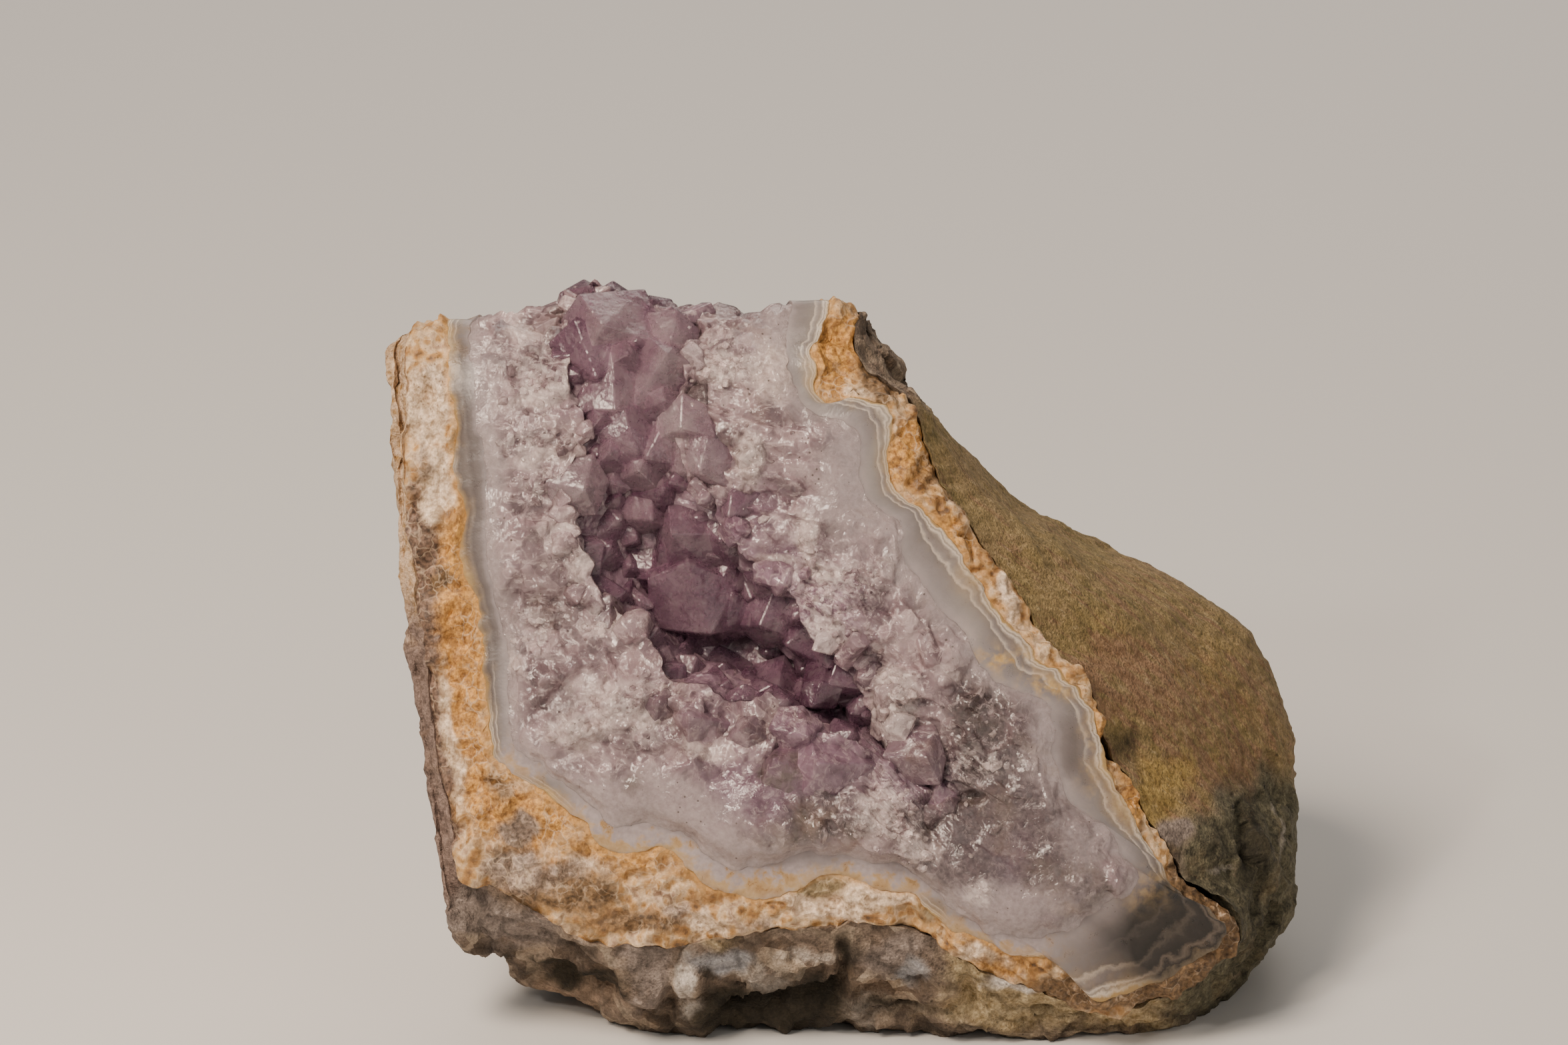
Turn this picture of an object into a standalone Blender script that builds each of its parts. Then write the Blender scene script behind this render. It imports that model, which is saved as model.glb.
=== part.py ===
# Rough amethyst: a broken chunk of geode, in metres, +Z up, resting on its flat foot at Z = 0.
# The broken face leans back from the viewer. All outlines are given in millimetres in that face:
# x to the right, y up the face, depth straight into the stone.
# Four closed solids nest in each other: host rock, stained rind, agate band, amethyst crust.

import math

import bmesh
import bpy
import numpy as np
from mathutils import Vector

MM = 0.001
LEAN_DEG = 22.0  # how far the broken face leans back from upright
FACE_HEIGHT = 38.4  # height of the face's zero point over the foot
FACE_SETBACK = -21.0  # moves the stone so that its foot is centred on the origin
SHIFT_RIGHT = -0.2
CONTACT_GAP = 0.3  # the layers are fused in nature; the solids keep this much between them
STATIONS = (6, 4, 7, 5, 13, 12, 10, 14, 13)  # points on each leg of every outline

# Every outline runs clockwise as the viewer sees it, in nine legs. The legs start at: top left corner, top left of
# the hollow, top right of the hollow, top right peak, notch under the peak, right side, lower right nose,
# bottom middle, bottom left corner. Each point is (x, y, depth).
OUTLINES = {
    "flank": (  # widest outline of the rock
        ((-45, 31.6, 8), (-42, 33, 15), (-36, 31.4, 20.5), (-29.5, 31.8, 22)),
        ((-27, 32.2, 22.5), (-24.5, 32.6, 22.5), (-21.5, 32, 22.5)),
        ((-19.3, 31.3, 22.5), (-15, 31.3, 22.5), (-9, 31.2, 22), (-3, 31.4, 20.5), (2, 33, 14)),
        ((3.2, 33.4, 10.5), (3.4, 32.0, 9), (4.3, 31, 9.5), (5.1, 28.8, 10.5)),
        ((5.6, 27.8, 12), (8, 25.2, 16), (10, 22.8, 18), (13, 20.3, 20), (17, 15.8, 22), (20, 14.5, 24),
         (25, 11.9, 27), (30, 9.8, 29), (35, 7, 30)),
        ((38.2, 5, 31), (41, 2.2, 31), (43.5, -3, 31), (44.7, -8, 30), (44.3, -12, 28), (45, -16, 26),
         (45.4, -22, 24)),
        ((44.7, -25.8, 24), (40, -30.5, 22), (35, -34.8, 20), (32.5, -36.4, 18), (27, -36.2, 14),
         (20, -36.9, 12), (13, -37.1, 12)),
        ((5, -36.4, 12), (-3, -36.6, 13), (-9, -36.6, 13), (-15.5, -36.7, 13), (-21, -34.9, 14),
         (-26, -33.6, 15), (-30, -32, 16), (-33.5, -28.4, 15), (-36, -27.5, 12), (-37.6, -28, 9)),
        ((-38.8, -26, 7), (-39.7, -22, 6), (-40.6, -16, 6), (-41.6, -11, 7), (-42.2, -5, 7), (-43.2, 0, 7),
         (-43.4, 4, 7), (-43.9, 10, 6), (-44.4, 18, 5), (-44.5, 24, 4.5), (-45, 29, 5)),
    ),
    "shoulder": (  # rock surface half way from its flank to the broken face
        ((-44.6, 32.2, 6.3), (-41.5, 33.9, 11.5), (-36, 32.6, 17), (-29.5, 33, 18.5)),
        ((-27, 33.6, 19), (-24.5, 34, 19), (-21.5, 33.4, 19)),
        ((-19.3, 32.6, 19), (-15, 32.7, 19), (-9, 32.6, 18.5), (-3.5, 33, 16.5), (1.4, 34.6, 10.5)),
        ((2.5, 34.8, 7.5), (2.5, 32.4, 6), (3.4, 30.4, 5.6), (4.4, 28.2, 5.6)),
        ((6.4, 26, 6), (8.6, 23.6, 8), (11.3, 20.6, 9.5), (14, 17.4, 10), (17.5, 14, 10.5), (21, 11.5, 11.5),
         (25, 8.6, 13), (29, 5.2, 14)),
        ((32, 1, 15), (35, -3.5, 16), (37.5, -8, 17), (39.6, -12, 17.5), (39.4, -16, 14), (40, -21, 13)),
        ((41, -26.5, 14), (38.5, -29.8, 14), (34.8, -32.8, 13), (30.5, -35, 12), (25, -35.8, 10),
         (19, -35.5, 8.5), (13.5, -34.6, 7)),
        ((7, -32.2, 6.5), (0, -31.6, 6), (-6, -31.6, 6.2), (-12, -32, 6.6), (-17, -32.6, 7), (-22, -31.6, 7.5),
         (-27.5, -29.4, 7.6), (-33, -26.2, 6.6), (-36.6, -24.6, 5.6)),
        ((-39.4, -21.5, 4.8), (-40.2, -15.5, 5), (-41.2, -9, 5.2), (-42, -3, 5.2), (-42.8, 3, 5),
         (-43.6, 11, 4.6), (-44.1, 19, 4), (-44.6, 26, 4.2)),
    ),
    "rock_edge": (  # where the rock ends and the stained rind begins
        ((-43.6, 32.6, 4.5), (-41, 33.6, 9), (-36, 32.8, 14), (-29.5, 33.4, 15.5)),
        ((-27.2, 34, 16), (-24.5, 34.4, 16), (-21.6, 33.8, 16)),
        ((-19.5, 33.1, 16), (-15, 33.3, 16), (-9.5, 33.2, 15.5), (-4.5, 33.6, 13.5), (0.2, 35, 8.5)),
        ((1.6, 35.2, 6.2), (1.1, 33.5, 4), (1, 31.5, 3), (2, 29.6, 2.5), (3.6, 28, 2.4), (5, 27, 2.2)),
        ((6.4, 25.8, 2), (7.4, 23, 2), (8.4, 20.4, 2), (9.5, 18, 2), (10.8, 15.9, 2),
         (12.3, 13.8, 2), (14.2, 11, 2), (15.8, 8.6, 2), (17.6, 6.2, 2), (18.6, 4.2, 2)),
        ((19.9, 2, 2), (22.6, -0.6, 2.3), (24.8, -3.6, 2.6), (26, -7, 2.8), (27.2, -10.2, 3.2),
         (29.5, -14, 3.8), (31.8, -18, 4.6), (33.6, -21.4, 5.4), (36.6, -22.9, 6)),
        ((39.3, -25, 7), (38.4, -28.3, 7.5), (34.5, -31.2, 7.5), (30, -33.2, 7.5), (25, -34.6, 7),
         (21, -33.6, 6), (17, -31.5, 5), (13.5, -30, 4), (10.3, -28.2, 3.4)),
        ((8.3, -26.6, 3), (4.5, -25.6, 2.6), (-1, -25.5, 2.4), (-6, -26, 2.4), (-11.5, -27.1, 2.6),
         (-17, -27.6, 2.8), (-22.5, -27.6, 3), (-26.5, -27.2, 3.2), (-30.5, -24.9, 3.2), (-34.8, -22.2, 3.2)),
        ((-38.2, -20.6, 3.4), (-39, -16, 3.6), (-40, -10.5, 3.8), (-41, -5, 3.8), (-41.6, 0, 3.6),
         (-42.2, 5, 3.4), (-43, 12, 3), (-43.6, 19, 2.6), (-43.9, 26, 2.6)),
    ),
    "rind_edge": (  # where the rind ends and the agate begins
        ((-39.3, 34.2, 6.2), (-37.5, 33.6, 11), (-33, 33.2, 13.5), (-29, 34, 14)),
        ((-27.3, 34.8, 14), (-24.5, 35.2, 14), (-21.8, 34.6, 14)),
        ((-19.8, 33.9, 14), (-15.5, 34.1, 14), (-10.5, 33.9, 13.5), (-6.5, 34.2, 11.5), (-3.2, 35.4, 8)),
        ((-1.8, 36.2, 5.6), (-2.2, 34.2, 3), (-2.9, 32.2, 2), (-3.4, 31, 1.5), (-3, 29.6, 1), (-3.1, 28, 1),
         (-2.4, 26.8, 0.8), (-1, 26.3, 0.8), (1.2, 26.3, 0.6), (3.2, 26, 0.6)),
        ((4.5, 24.8, 0.6), (4.4, 22, 0.6), (4.2, 19, 0.6),
         (5, 16.8, 0.6), (7.3, 15.3, 0.6), (9.4, 13.6, 0.6), (10.8, 12, 0.6), (12, 10, 0.6),
         (13.2, 8, 0.8), (14.4, 6, 0.8), (15.7, 4.2, 0.8)),
        ((17.6, 2.6, 0.9), (19.2, 0.8, 1), (21.3, -0.6, 1.2), (23, -2.4, 1.5), (24.2, -4.4, 1.7),
         (24.8, -6.8, 1.8), (25.6, -9.2, 2), (26.6, -11.4, 2.2), (27.6, -13.8, 2.5), (29.4, -17.1, 3),
         (31, -19.8, 3.5), (32.2, -22, 4), (34, -23.6, 4.4), (36, -24.2, 4.9)),
        ((37.7, -25.8, 5.5), (36.9, -27.5, 5.5), (34, -29.4, 5.2), (31, -31, 4.8), (28, -32.3, 4.5),
         (25.3, -32.8, 4.2), (23.2, -31.2, 3.8), (21.5, -29.2, 3.4), (18.5, -28.9, 3), (14, -27.3, 2.6),
         (10.8, -26.1, 2.2)),
        ((8.2, -24.6, 1.8), (6.6, -22.4, 1.6), (3, -21.7, 1.4), (0, -20.9, 1.4), (-2.6, -20.9, 1.4),
         (-5, -22.2, 1.5), (-8, -23.2, 1.6), (-11.5, -22.4, 1.6), (-14.3, -21.5, 1.6), (-16.3, -19.2, 1.6),
         (-18.6, -18, 1.6), (-21.5, -18.6, 1.6), (-24, -17.8, 1.6), (-26.2, -15.2, 1.6), (-29.5, -12.8, 1.7),
         (-32.3, -11, 1.8)),
        ((-34.5, -9.6, 1.9), (-35.4, -6.5, 2), (-35.7, -2, 2), (-35.9, 2.5, 2), (-36.6, 6.5, 2),
         (-38, 9.5, 2), (-38.4, 12.5, 2), (-37.5, 15.2, 2), (-38.6, 18.5, 2), (-38.8, 21, 2),
         (-38.3, 23.8, 2), (-39.2, 27, 2.2), (-39.3, 31, 3.5)),
    ),
    "agate_edge": (  # where the agate ends and the quartz begins
        ((-37.2, 34.2, 6), (-35.5, 34.2, 9.5), (-32, 34.2, 11), (-29.5, 35, 11.5)),
        ((-27.5, 36, 11.5), (-24.5, 36.6, 11.5), (-22, 35.8, 11.5)),
        ((-20, 35, 11.5), (-16, 35.3, 11.5), (-11, 35, 11), (-8, 34.7, 9.5), (-6.3, 35.6, 7)),
        ((-5.4, 36.2, 5.5), (-6.2, 33.5, 3), (-6.3, 31.8, 2), (-5.6, 29.8, 1), (-5.6, 28, 0.8),
         (-4.8, 26.4, 0.6), (-3, 25.2, 0.5), (-1, 24.8, 0.2)),
        ((0.6, 23.8, 0), (1.2, 22, 0), (1.2, 19.6, 0), (1.8, 17.4, 0), (3.2, 15.8, 0),
         (5, 14.3, 0), (5.8, 12, 0), (6.9, 9, 0), (8.3, 6.8, 0), (9.5, 5, 0), (11.2, 3.8, 0),
         (12.3, 2.2, 0)),
        ((13.5, 0.2, 0.3), (15.5, -2, 0.5), (19, -2.8, 0.8), (20.4, -4.8, 1), (20.3, -8, 1),
         (20.8, -11, 1.2), (22, -13, 1.2), (24, -14.4, 1.5), (26, -16.2, 1.8), (27.6, -18.4, 2.2),
         (28.6, -20.8, 2.4)),
        ((27.6, -22.6, 2.4), (24.5, -23.9, 2.4), (21.6, -26.2, 2.4), (17.5, -26.8, 2.2), (14, -26, 2),
         (10.5, -24.4, 1.5)),
        ((8.4, -22, 1.2), (5.8, -20.2, 1), (2.5, -19.7, 1), (0, -18.9, 1), (-4, -18.8, 1), (-8, -19.8, 1),
         (-11.5, -20.3, 1), (-14.2, -18.2, 1), (-17, -15.8, 1), (-19.5, -15.3, 1), (-22.5, -15.8, 1),
         (-25, -13.8, 1), (-28, -11.6, 1), (-31, -9.6, 1)),
        ((-32.6, -8, 1.2), (-33.3, -5, 1.3), (-33.5, 0, 1.3), (-34, 4, 1.3), (-35, 7.5, 1.2),
         (-35.6, 12, 1), (-35.8, 17, 1), (-36.1, 21, 1), (-36.6, 26, 1.2), (-37, 30, 2.5)),
    ),
    "crown": (  # outer shoulder of the quartz crust; along the top it is the stone's upper edge
        ((-35.5, 34.4, 5.2), (-34, 35, 6.6), (-31.5, 35.4, 7.2), (-28.8, 36.3, 7.6)),
        ((-27.6, 37.3, 8), (-25.3, 38, 8.2), (-22.5, 37, 8)),
        ((-20.4, 35.9, 7.6), (-18.5, 36.4, 7.4), (-12.5, 36.1, 7.2), (-9, 35.5, 6), (-7.4, 36, 5.2)),
        ((-7.6, 35, 4), (-8.6, 32.6, 2.2), (-8.8, 30.6, 1), (-9, 28.4, 0.4), (-8.4, 26, 0), (-6.4, 24, -0.4)),
        ((-4, 22.6, -0.6), (-3, 19, -0.8), (-1.6, 16, -0.8), (1, 13, -0.8), (2.4, 9.4, -0.8),
         (4.4, 6, -0.8), (7, 2.8, -0.8)),
        ((9.4, -0.6, -0.8), (12, -4, -0.8), (15.4, -7, -0.6), (16.8, -11, -0.4), (18.8, -14.4, -0.2),
         (21.4, -17.4, 0.2)),
        ((22, -20.6, 0.4), (18.8, -23, 0.2), (14.8, -23.2, 0), (11, -21.6, -0.2)),
        ((7.4, -18.8, -0.6), (3, -16.8, -1.2), (-2, -15.8, -1.6), (-8, -16, -1.6), (-13, -15, -1.4),
         (-18, -12.6, -1), (-23, -11.4, -0.6), (-27.4, -9, -0.2)),
        ((-30, -5.6, 0), (-30.6, 0, 0.1), (-31.4, 5, 0.2), (-32.6, 11, 0.2), (-33, 18, 0.2),
         (-33.6, 25, 0.6), (-34.4, 31, 2.6)),
    ),
    "rim": (  # lip of the open hollow
        ((-27.6, 33.4, 3.5), (-27.2, 35.4, 5.4)),
        ((-26.2, 36.8, 6.6), (-24.2, 37.2, 7.2), (-22, 36.4, 7)),
        ((-20.2, 35.4, 6), (-18.6, 34.6, 4.5), (-17, 33, 3)),
        ((-16.4, 31.4, 2), (-16.2, 29.5, 1.2), (-16.4, 27.2, 0.8)),
        ((-17.3, 24.8, 0.6), (-17, 21.8, 0.4), (-16.2, 19, 0.2), (-14.8, 17.2, 0), (-12.8, 16.6, 0),
         (-12.3, 14, 0), (-10.8, 12.2, 0), (-8.6, 9.4, 0), (-5.6, 6.4, 0)),
        ((-4, 3.6, 0), (-1.8, 1.2, 0), (0.6, -1.2, 0), (2.4, -3.8, 0), (3.8, -6.4, 0), (5, -8.4, 0.4)),
        ((5.4, -9.8, 0.4), (3.6, -9.4, -0.5), (1.6, -8, -1)),
        ((-1, -6.6, -1), (-4.2, -5.4, -1.2), (-5.4, -3.4, -1), (-7.8, -2.4, -1), (-11, -3, -1.4),
         (-14, -2.2, -1.4), (-16.8, -2, -1)),
        ((-18.2, -0.6, -0.6), (-18.6, 2.2, 0), (-20.6, 4.6, 0.3), (-22.6, 6, 0.5), (-24.4, 8.2, 0.6),
         (-25.4, 11, 0.7), (-27, 14, 0.8), (-28, 17.4, 0.8), (-27.4, 20, 0.8), (-25.6, 22, 0.8),
         (-25.8, 24.8, 0.9), (-27.2, 27, 1), (-27.3, 30.2, 1.6)),
    ),
    "floor": (  # narrow bottom of the hollow
        ((-24.6, 32.6, 9), (-24.5, 33.8, 9.4)),
        ((-24.1, 34.8, 9.8), (-23.2, 35.2, 10), (-22.3, 34.8, 9.8)),
        ((-21.7, 34, 9.2), (-21.1, 33, 8.4)),
        ((-20.6, 31.6, 7.6), (-20.2, 30, 7), (-20, 28.4, 6.8)),
        ((-19.8, 26.6, 7), (-19.7, 24, 8), (-19.6, 21, 9.4), (-19.4, 18, 11), (-19, 15, 12.8), (-18, 12, 14.4),
         (-16.4, 9.2, 16), (-14, 6.4, 17.4), (-11, 3.8, 18.4), (-8, 2, 18.2)),
        ((-6, 0.8, 17.2), (-4.2, -0.6, 15.4), (-2.4, -2.2, 13.4), (-0.4, -4, 11.2), (1.2, -5.4, 9.4)),
        ((2.4, -6.5, 8), (2.6, -7.4, 7.4), (1.8, -7.7, 7.6)),
        ((0.4, -7, 9), (-1.8, -5.4, 11.4), (-4.6, -3.4, 14.4), (-7.4, -1.6, 17), (-10.4, -0.6, 18.6),
         (-13, 0.2, 19)),
        ((-15.6, 2.2, 18.6), (-17.8, 5, 17.4), (-19.8, 8, 16), (-21.2, 11.4, 14.2), (-22.1, 15, 12.4),
         (-22.6, 18.6, 10.6), (-23, 22, 9.2), (-23.4, 25.4, 8.2), (-24, 29, 8)),
    ),
    "back": (  # back of the rock, behind its flank
        ((-42, 24, 20), (-38, 24, 28), (-30, 25, 31)),
        ((-27, 25, 32), (-24, 25, 32), (-21, 25, 32)),
        ((-18, 25, 32), (-12, 25, 32), (-6, 25, 31), (0, 25.5, 28)),
        ((4, 26, 24), (6, 25, 22)),
        ((9, 22.5, 24), (14, 18, 28), (20, 14, 34), (28, 10.5, 39), (35, 7, 41)),
        ((39, 3, 43), (41.5, -3, 43), (42.5, -9, 42), (42.5, -15, 40), (42, -20, 38)),
        ((40, -25, 36), (34, -29, 34), (26, -32, 32), (16, -33, 30)),
        ((6, -33, 30), (-6, -33, 30), (-16, -32, 29), (-26, -29, 27), (-33, -25, 24)),
        ((-37.5, -18, 20), (-39, -10, 20), (-40.5, 0, 20), (-42, 10, 18), (-43, 18, 17)),
    ),
}
BACK_POLE = (9, -7, 56)
BACK_RINGS = ((0.62, 0.62), (0.3, 0.9))  # (how far towards the pole, share of the way in depth)

WALL_STEPS = ((0.3, 0.5), (0.65, 0.86))  # (share of the way in from the rim, share of the depth)

# Each inner contact is a bowl from its outline down to a pole, in three steps from edge to pole.
BOWL_CENTRE = (-4, 1)
BOWL_DEPTHS = {"rock_edge": 36.0, "rind_edge": 33.5, "agate_edge": 30.5}
BOWL_ANGLES_DEG = (22.0, 44.0, 68.0)
BOWL_POWER = 0.7
EASING = 16  # how much the outline's corners are rounded off at each step down the bowl

# Amethyst and quartz points: tip (x, y, depth), where they point (x, y, depth), width across, length.
POINTS = {
    "top_left_point": ((-24.6, 29.4, 1.0), (0.15, -0.35, -0.9), 8.6, 11),
    "top_face_point": ((-21.2, 33.6, 3.2), (0.2, 0.3, -0.9), 7.0, 8),
    "top_low_point": ((-24.6, 26.0, 2.6), (0.1, -0.2, -0.95), 5.0, 7),
    "top_right_point": ((-18.8, 28.2, 1.8), (-0.2, -0.2, -0.95), 6.0, 8),
    "upper_mid_point": ((-21.6, 25.0, 4.0), (0.0, -0.3, -0.95), 4.4, 7),
    "upper_dark_point": ((-23.6, 22.6, 5.6), (0.3, -0.1, -0.95), 4.0, 7),
    "upper_pale_point": ((-20.6, 21.2, 4.6), (0.0, -0.2, -0.95), 4.8, 7),
    "upper_right_point": ((-18.2, 23.4, 3.4), (-0.4, -0.2, -0.9), 3.8, 6),
    "left_lip_point": ((-25.4, 17.2, 1.2), (0.85, -0.4, -0.35), 4.2, 8),
    "right_lip_point": ((-14.6, 17.6, -0.6), (-0.5, -0.55, -0.65), 6.6, 9),
    "right_lilac_point": ((-11.4, 14.0, 0.2), (-0.45, -0.5, -0.7), 5.6, 8),
    "left_purple_point": ((-23.8, 16.6, 8.0), (0.3, 0.1, -0.95), 4.2, 4.6),
    "mid_pale_point": ((-20.4, 16.8, 6.0), (0.0, -0.2, -0.95), 4.8, 8),
    "bright_point": ((-16.0, 13.6, 4.0), (-0.3, -0.35, -0.88), 7.2, 11),
    "great_point": ((-15.0, 4.6, 4.4), (0.05, -0.62, -0.78), 7.2, 14),
    "great_side_point": ((-12.0, 5.6, 6.4), (-0.1, -0.55, -0.8), 4.4, 10),
    "left_blade_point": ((-19.4, 5.6, 7.0), (0.62, -0.5, -0.55), 3.0, 9),
    "left_deep_point": ((-22.4, 10.4, 9.2), (0.3, -0.1, -0.95), 4.0, 4.4),
    "low_purple_point": ((-8.6, 3.4, 6.4), (-0.35, -0.35, -0.85), 5.2, 9),
    "right_wall_point": ((-8.8, 7.4, 2.6), (-0.72, -0.2, -0.6), 4.2, 8),
    "low_dark_point": ((-4.8, 1.6, 4.6), (-0.55, -0.4, -0.7), 3.8, 7),
    "low_right_point": ((-2.6, -3.6, 2.6), (-0.3, -0.72, -0.55), 4.4, 9),
    "low_left_lip": ((-14.0, -2.4, -1.0), (0.1, 0.62, -0.7), 4.6, 8),
    "low_mid_lip": ((-7.8, -3.4, -1.8), (0.2, 0.55, -0.75), 6.8, 9),
    "low_right_lip": ((-0.4, -8.0, -2.0), (0.25, 0.6, -0.7), 7.0, 10),
    "corner_lip": ((5.6, -7.6, -0.8), (-0.5, 0.2, -0.8), 5.2, 7),
    "white_lip": ((4.2, -5.6, -1.2), (-0.25, -0.6, -0.7), 4.2, 8),
}
POINT_SLOPE = 0.62  # height of a point's six-sided tip over its half width

MATERIALS = {
    "host_rock": ((0.36, 0.28, 0.18), 0.85),
    "stained_rind": ((0.72, 0.52, 0.32), 0.7),
    "agate_band": ((0.50, 0.47, 0.50), 0.35),
    "amethyst_crust": ((0.62, 0.50, 0.60), 0.2),
}


def place(points):
    # Points in the leaning face (mm) to the stone's own frame (m).
    points = np.asarray(points, float)
    lean = math.radians(LEAN_DEG)
    x, y, depth = points[..., 0], points[..., 1], points[..., 2]
    back = y * math.sin(lean) + depth * math.cos(lean) + FACE_SETBACK
    up = y * math.cos(lean) - depth * math.sin(lean) + FACE_HEIGHT
    return np.stack([x + SHIFT_RIGHT, back, up], axis=-1) * MM


def smooth_closed(points, per_span=12):
    # Catmull-Rom curve through a closed loop of points, with the index of each given point on it.
    points = np.asarray(points, float)
    a, b, c, d = (np.roll(points, k, axis=0) for k in (1, 0, -1, -2))
    t = np.linspace(0, 1, per_span, endpoint=False)[:, None, None]
    curve = 0.5 * (2 * b + (c - a) * t + (2 * a - 5 * b + 4 * c - d) * t**2 + (3 * b - a - 3 * c + d) * t**3)
    return curve.transpose(1, 0, 2).reshape(-1, 3), np.arange(len(points)) * per_span


def ring(name):
    # One outline resampled so that each leg has its own number of evenly spaced points.
    legs = OUTLINES[name]
    curve, index = smooth_closed([point for leg in legs for point in leg])
    starts = np.cumsum([0] + [len(leg) for leg in legs])
    index = np.append(index, len(curve))
    curve = np.vstack([curve, curve[:1]])
    out = []
    for leg, count in enumerate(STATIONS):
        part = curve[index[starts[leg]] : index[starts[leg + 1]] + 1]
        along = np.append(0, np.cumsum(np.linalg.norm(np.diff(part, axis=0), axis=1)))
        want = np.linspace(0, along[-1], count, endpoint=False)
        out.append(np.stack([np.interp(want, along, part[:, k]) for k in range(3)], axis=1))
    return np.vstack(out)


def bowl(name):
    # The hidden contact under an outline: rings from its edge down to a pole.
    edge = ring(name)
    centre = np.array(BOWL_CENTRE, float)
    rings = [edge]
    eased = edge.copy()
    for angle in np.radians(BOWL_ANGLES_DEG):
        for _ in range(EASING):
            eased = (np.roll(eased, 1, axis=0) + eased * 2 + np.roll(eased, -1, axis=0)) / 4
        inner = eased.copy()
        inner[:, :2] = centre + (eased[:, :2] - centre) * math.cos(angle)
        sink = (1 - math.cos(angle)) ** BOWL_POWER
        inner[:, 2] = eased[:, 2] + (BOWL_DEPTHS[name] - eased[:, 2]) * sink
        rings.append(inner)
    return np.array(rings), np.array([*centre, BOWL_DEPTHS[name]])


def offset_bowl(name, outwards):
    # A bowl moved half the contact gap along its own normals, out of (+1) or into (-1) the hollow.
    rings, pole = bowl(name)
    around = np.roll(rings, -1, axis=1) - np.roll(rings, 1, axis=1)
    down = np.gradient(rings, axis=0)
    normal = np.cross(around, down)
    normal /= np.linalg.norm(normal, axis=2, keepdims=True)
    centre = np.array([*BOWL_CENTRE, 0.0])
    normal *= np.sign(np.sum(normal * (rings - centre)))
    moved = rings + normal * outwards * CONTACT_GAP / 2
    return moved, pole + np.array([0, 0, outwards * CONTACT_GAP / 2])


def loft(name, rings, start_pole=None, end_pole=None, turned=0):
    # A closed skin through rings of equal count, ending in a pole or a flat fill at each end. The first
    # strips given by turned are cut along the other diagonal, so that both sides of a contact match.
    mesh = bmesh.new()
    rows = [[mesh.verts.new(Vector(p)) for p in place(points)] for points in rings]
    count = len(rows[0])
    for strip, (first, second) in enumerate(zip(rows, rows[1:])):
        if strip < turned:
            first, second = second, first
        for k in range(count):
            nxt = (k + 1) % count
            mesh.faces.new((first[k], first[nxt], second[k]))
            mesh.faces.new((first[nxt], second[nxt], second[k]))
    for row, pole in ((rows[0], start_pole), (rows[-1], end_pole)):
        if pole is None:
            fill_end(mesh, row)
            continue
        tip = mesh.verts.new(Vector(place(pole)))
        for k in range(count):
            mesh.faces.new((row[k], row[(k + 1) % count], tip))
    bmesh.ops.recalc_face_normals(mesh, faces=mesh.faces)
    return finish_object(name, mesh)


def fill_end(mesh, row):
    # The narrow floor of the hollow is closed with triangles across its width.
    count = len(row)
    edges = [mesh.edges.get((row[k], row[(k + 1) % count])) for k in range(count)]
    bmesh.ops.triangle_fill(mesh, edges=edges, use_beauty=True)


def finish_object(name, mesh):
    data = bpy.data.meshes.new(name)
    mesh.to_mesh(data)
    mesh.free()
    made = bpy.data.objects.new(name, data)
    bpy.context.scene.collection.objects.link(made)
    return made


def paint(target, name):
    colour, roughness = MATERIALS[name]
    material = bpy.data.materials.new(name)
    material.use_nodes = True
    shader = material.node_tree.nodes["Principled BSDF"]
    shader.inputs["Base Color"].default_value = (*colour, 1)
    shader.inputs["Roughness"].default_value = roughness
    shader.inputs["Metallic"].default_value = 0
    target.data.materials.append(material)


def flatten_foot(points):
    # Nothing reaches below the surface that the stone rests on: lower points are lifted on to it.
    lean = math.radians(LEAN_DEG)
    points = points.copy()
    lowest = (points[..., 2] * math.sin(lean) - FACE_HEIGHT) / math.cos(lean)
    points[..., 1] = np.maximum(points[..., 1], lowest)
    return points


def host_rock():
    flank = ring("flank")
    back = ring("back")
    pole = np.array(BACK_POLE, float)
    rings = []
    for inward, sink in reversed(BACK_RINGS):
        step = back.copy()
        step[:, :2] = pole[:2] + (back[:, :2] - pole[:2]) * inward
        step[:, 2] = back[:, 2] + (pole[2] - back[:, 2]) * sink
        rings.append(flatten_foot(step))
    socket, bottom = offset_bowl("rock_edge", 1)
    rings += [flatten_foot(back), flatten_foot(flank), ring("shoulder"), *socket]
    return loft("host_rock", rings, start_pole=pole, end_pole=bottom)


def layer(name, outer, inner):
    # A bowl-shaped layer between two contacts, open to the viewer.
    outside, outside_pole = offset_bowl(outer, -1)
    inside, inside_pole = offset_bowl(inner, 1)
    middle = (outside[0] + inside[0]) / 2
    rings = [*outside[::-1], middle, *inside]
    return loft(name, rings, outside_pole, inside_pole, turned=len(outside) - 1)


def amethyst_crust():
    outside, pole = offset_bowl("agate_edge", -1)
    rim = ring("rim")
    floor = ring("floor")
    walls = []
    for inward, sink in WALL_STEPS:
        step = rim + (floor - rim) * inward
        step[:, 2] = rim[:, 2] + (floor[:, 2] - rim[:, 2]) * sink
        walls.append(step)
    rings = [*outside[::-1], ring("crown"), rim, *walls, floor]
    crust = loft("amethyst_crust", rings, start_pole=pole, turned=len(outside) - 1)
    for number, name in enumerate(POINTS):
        join_point(crust, crystal(name, number), name)
    return crust


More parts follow.
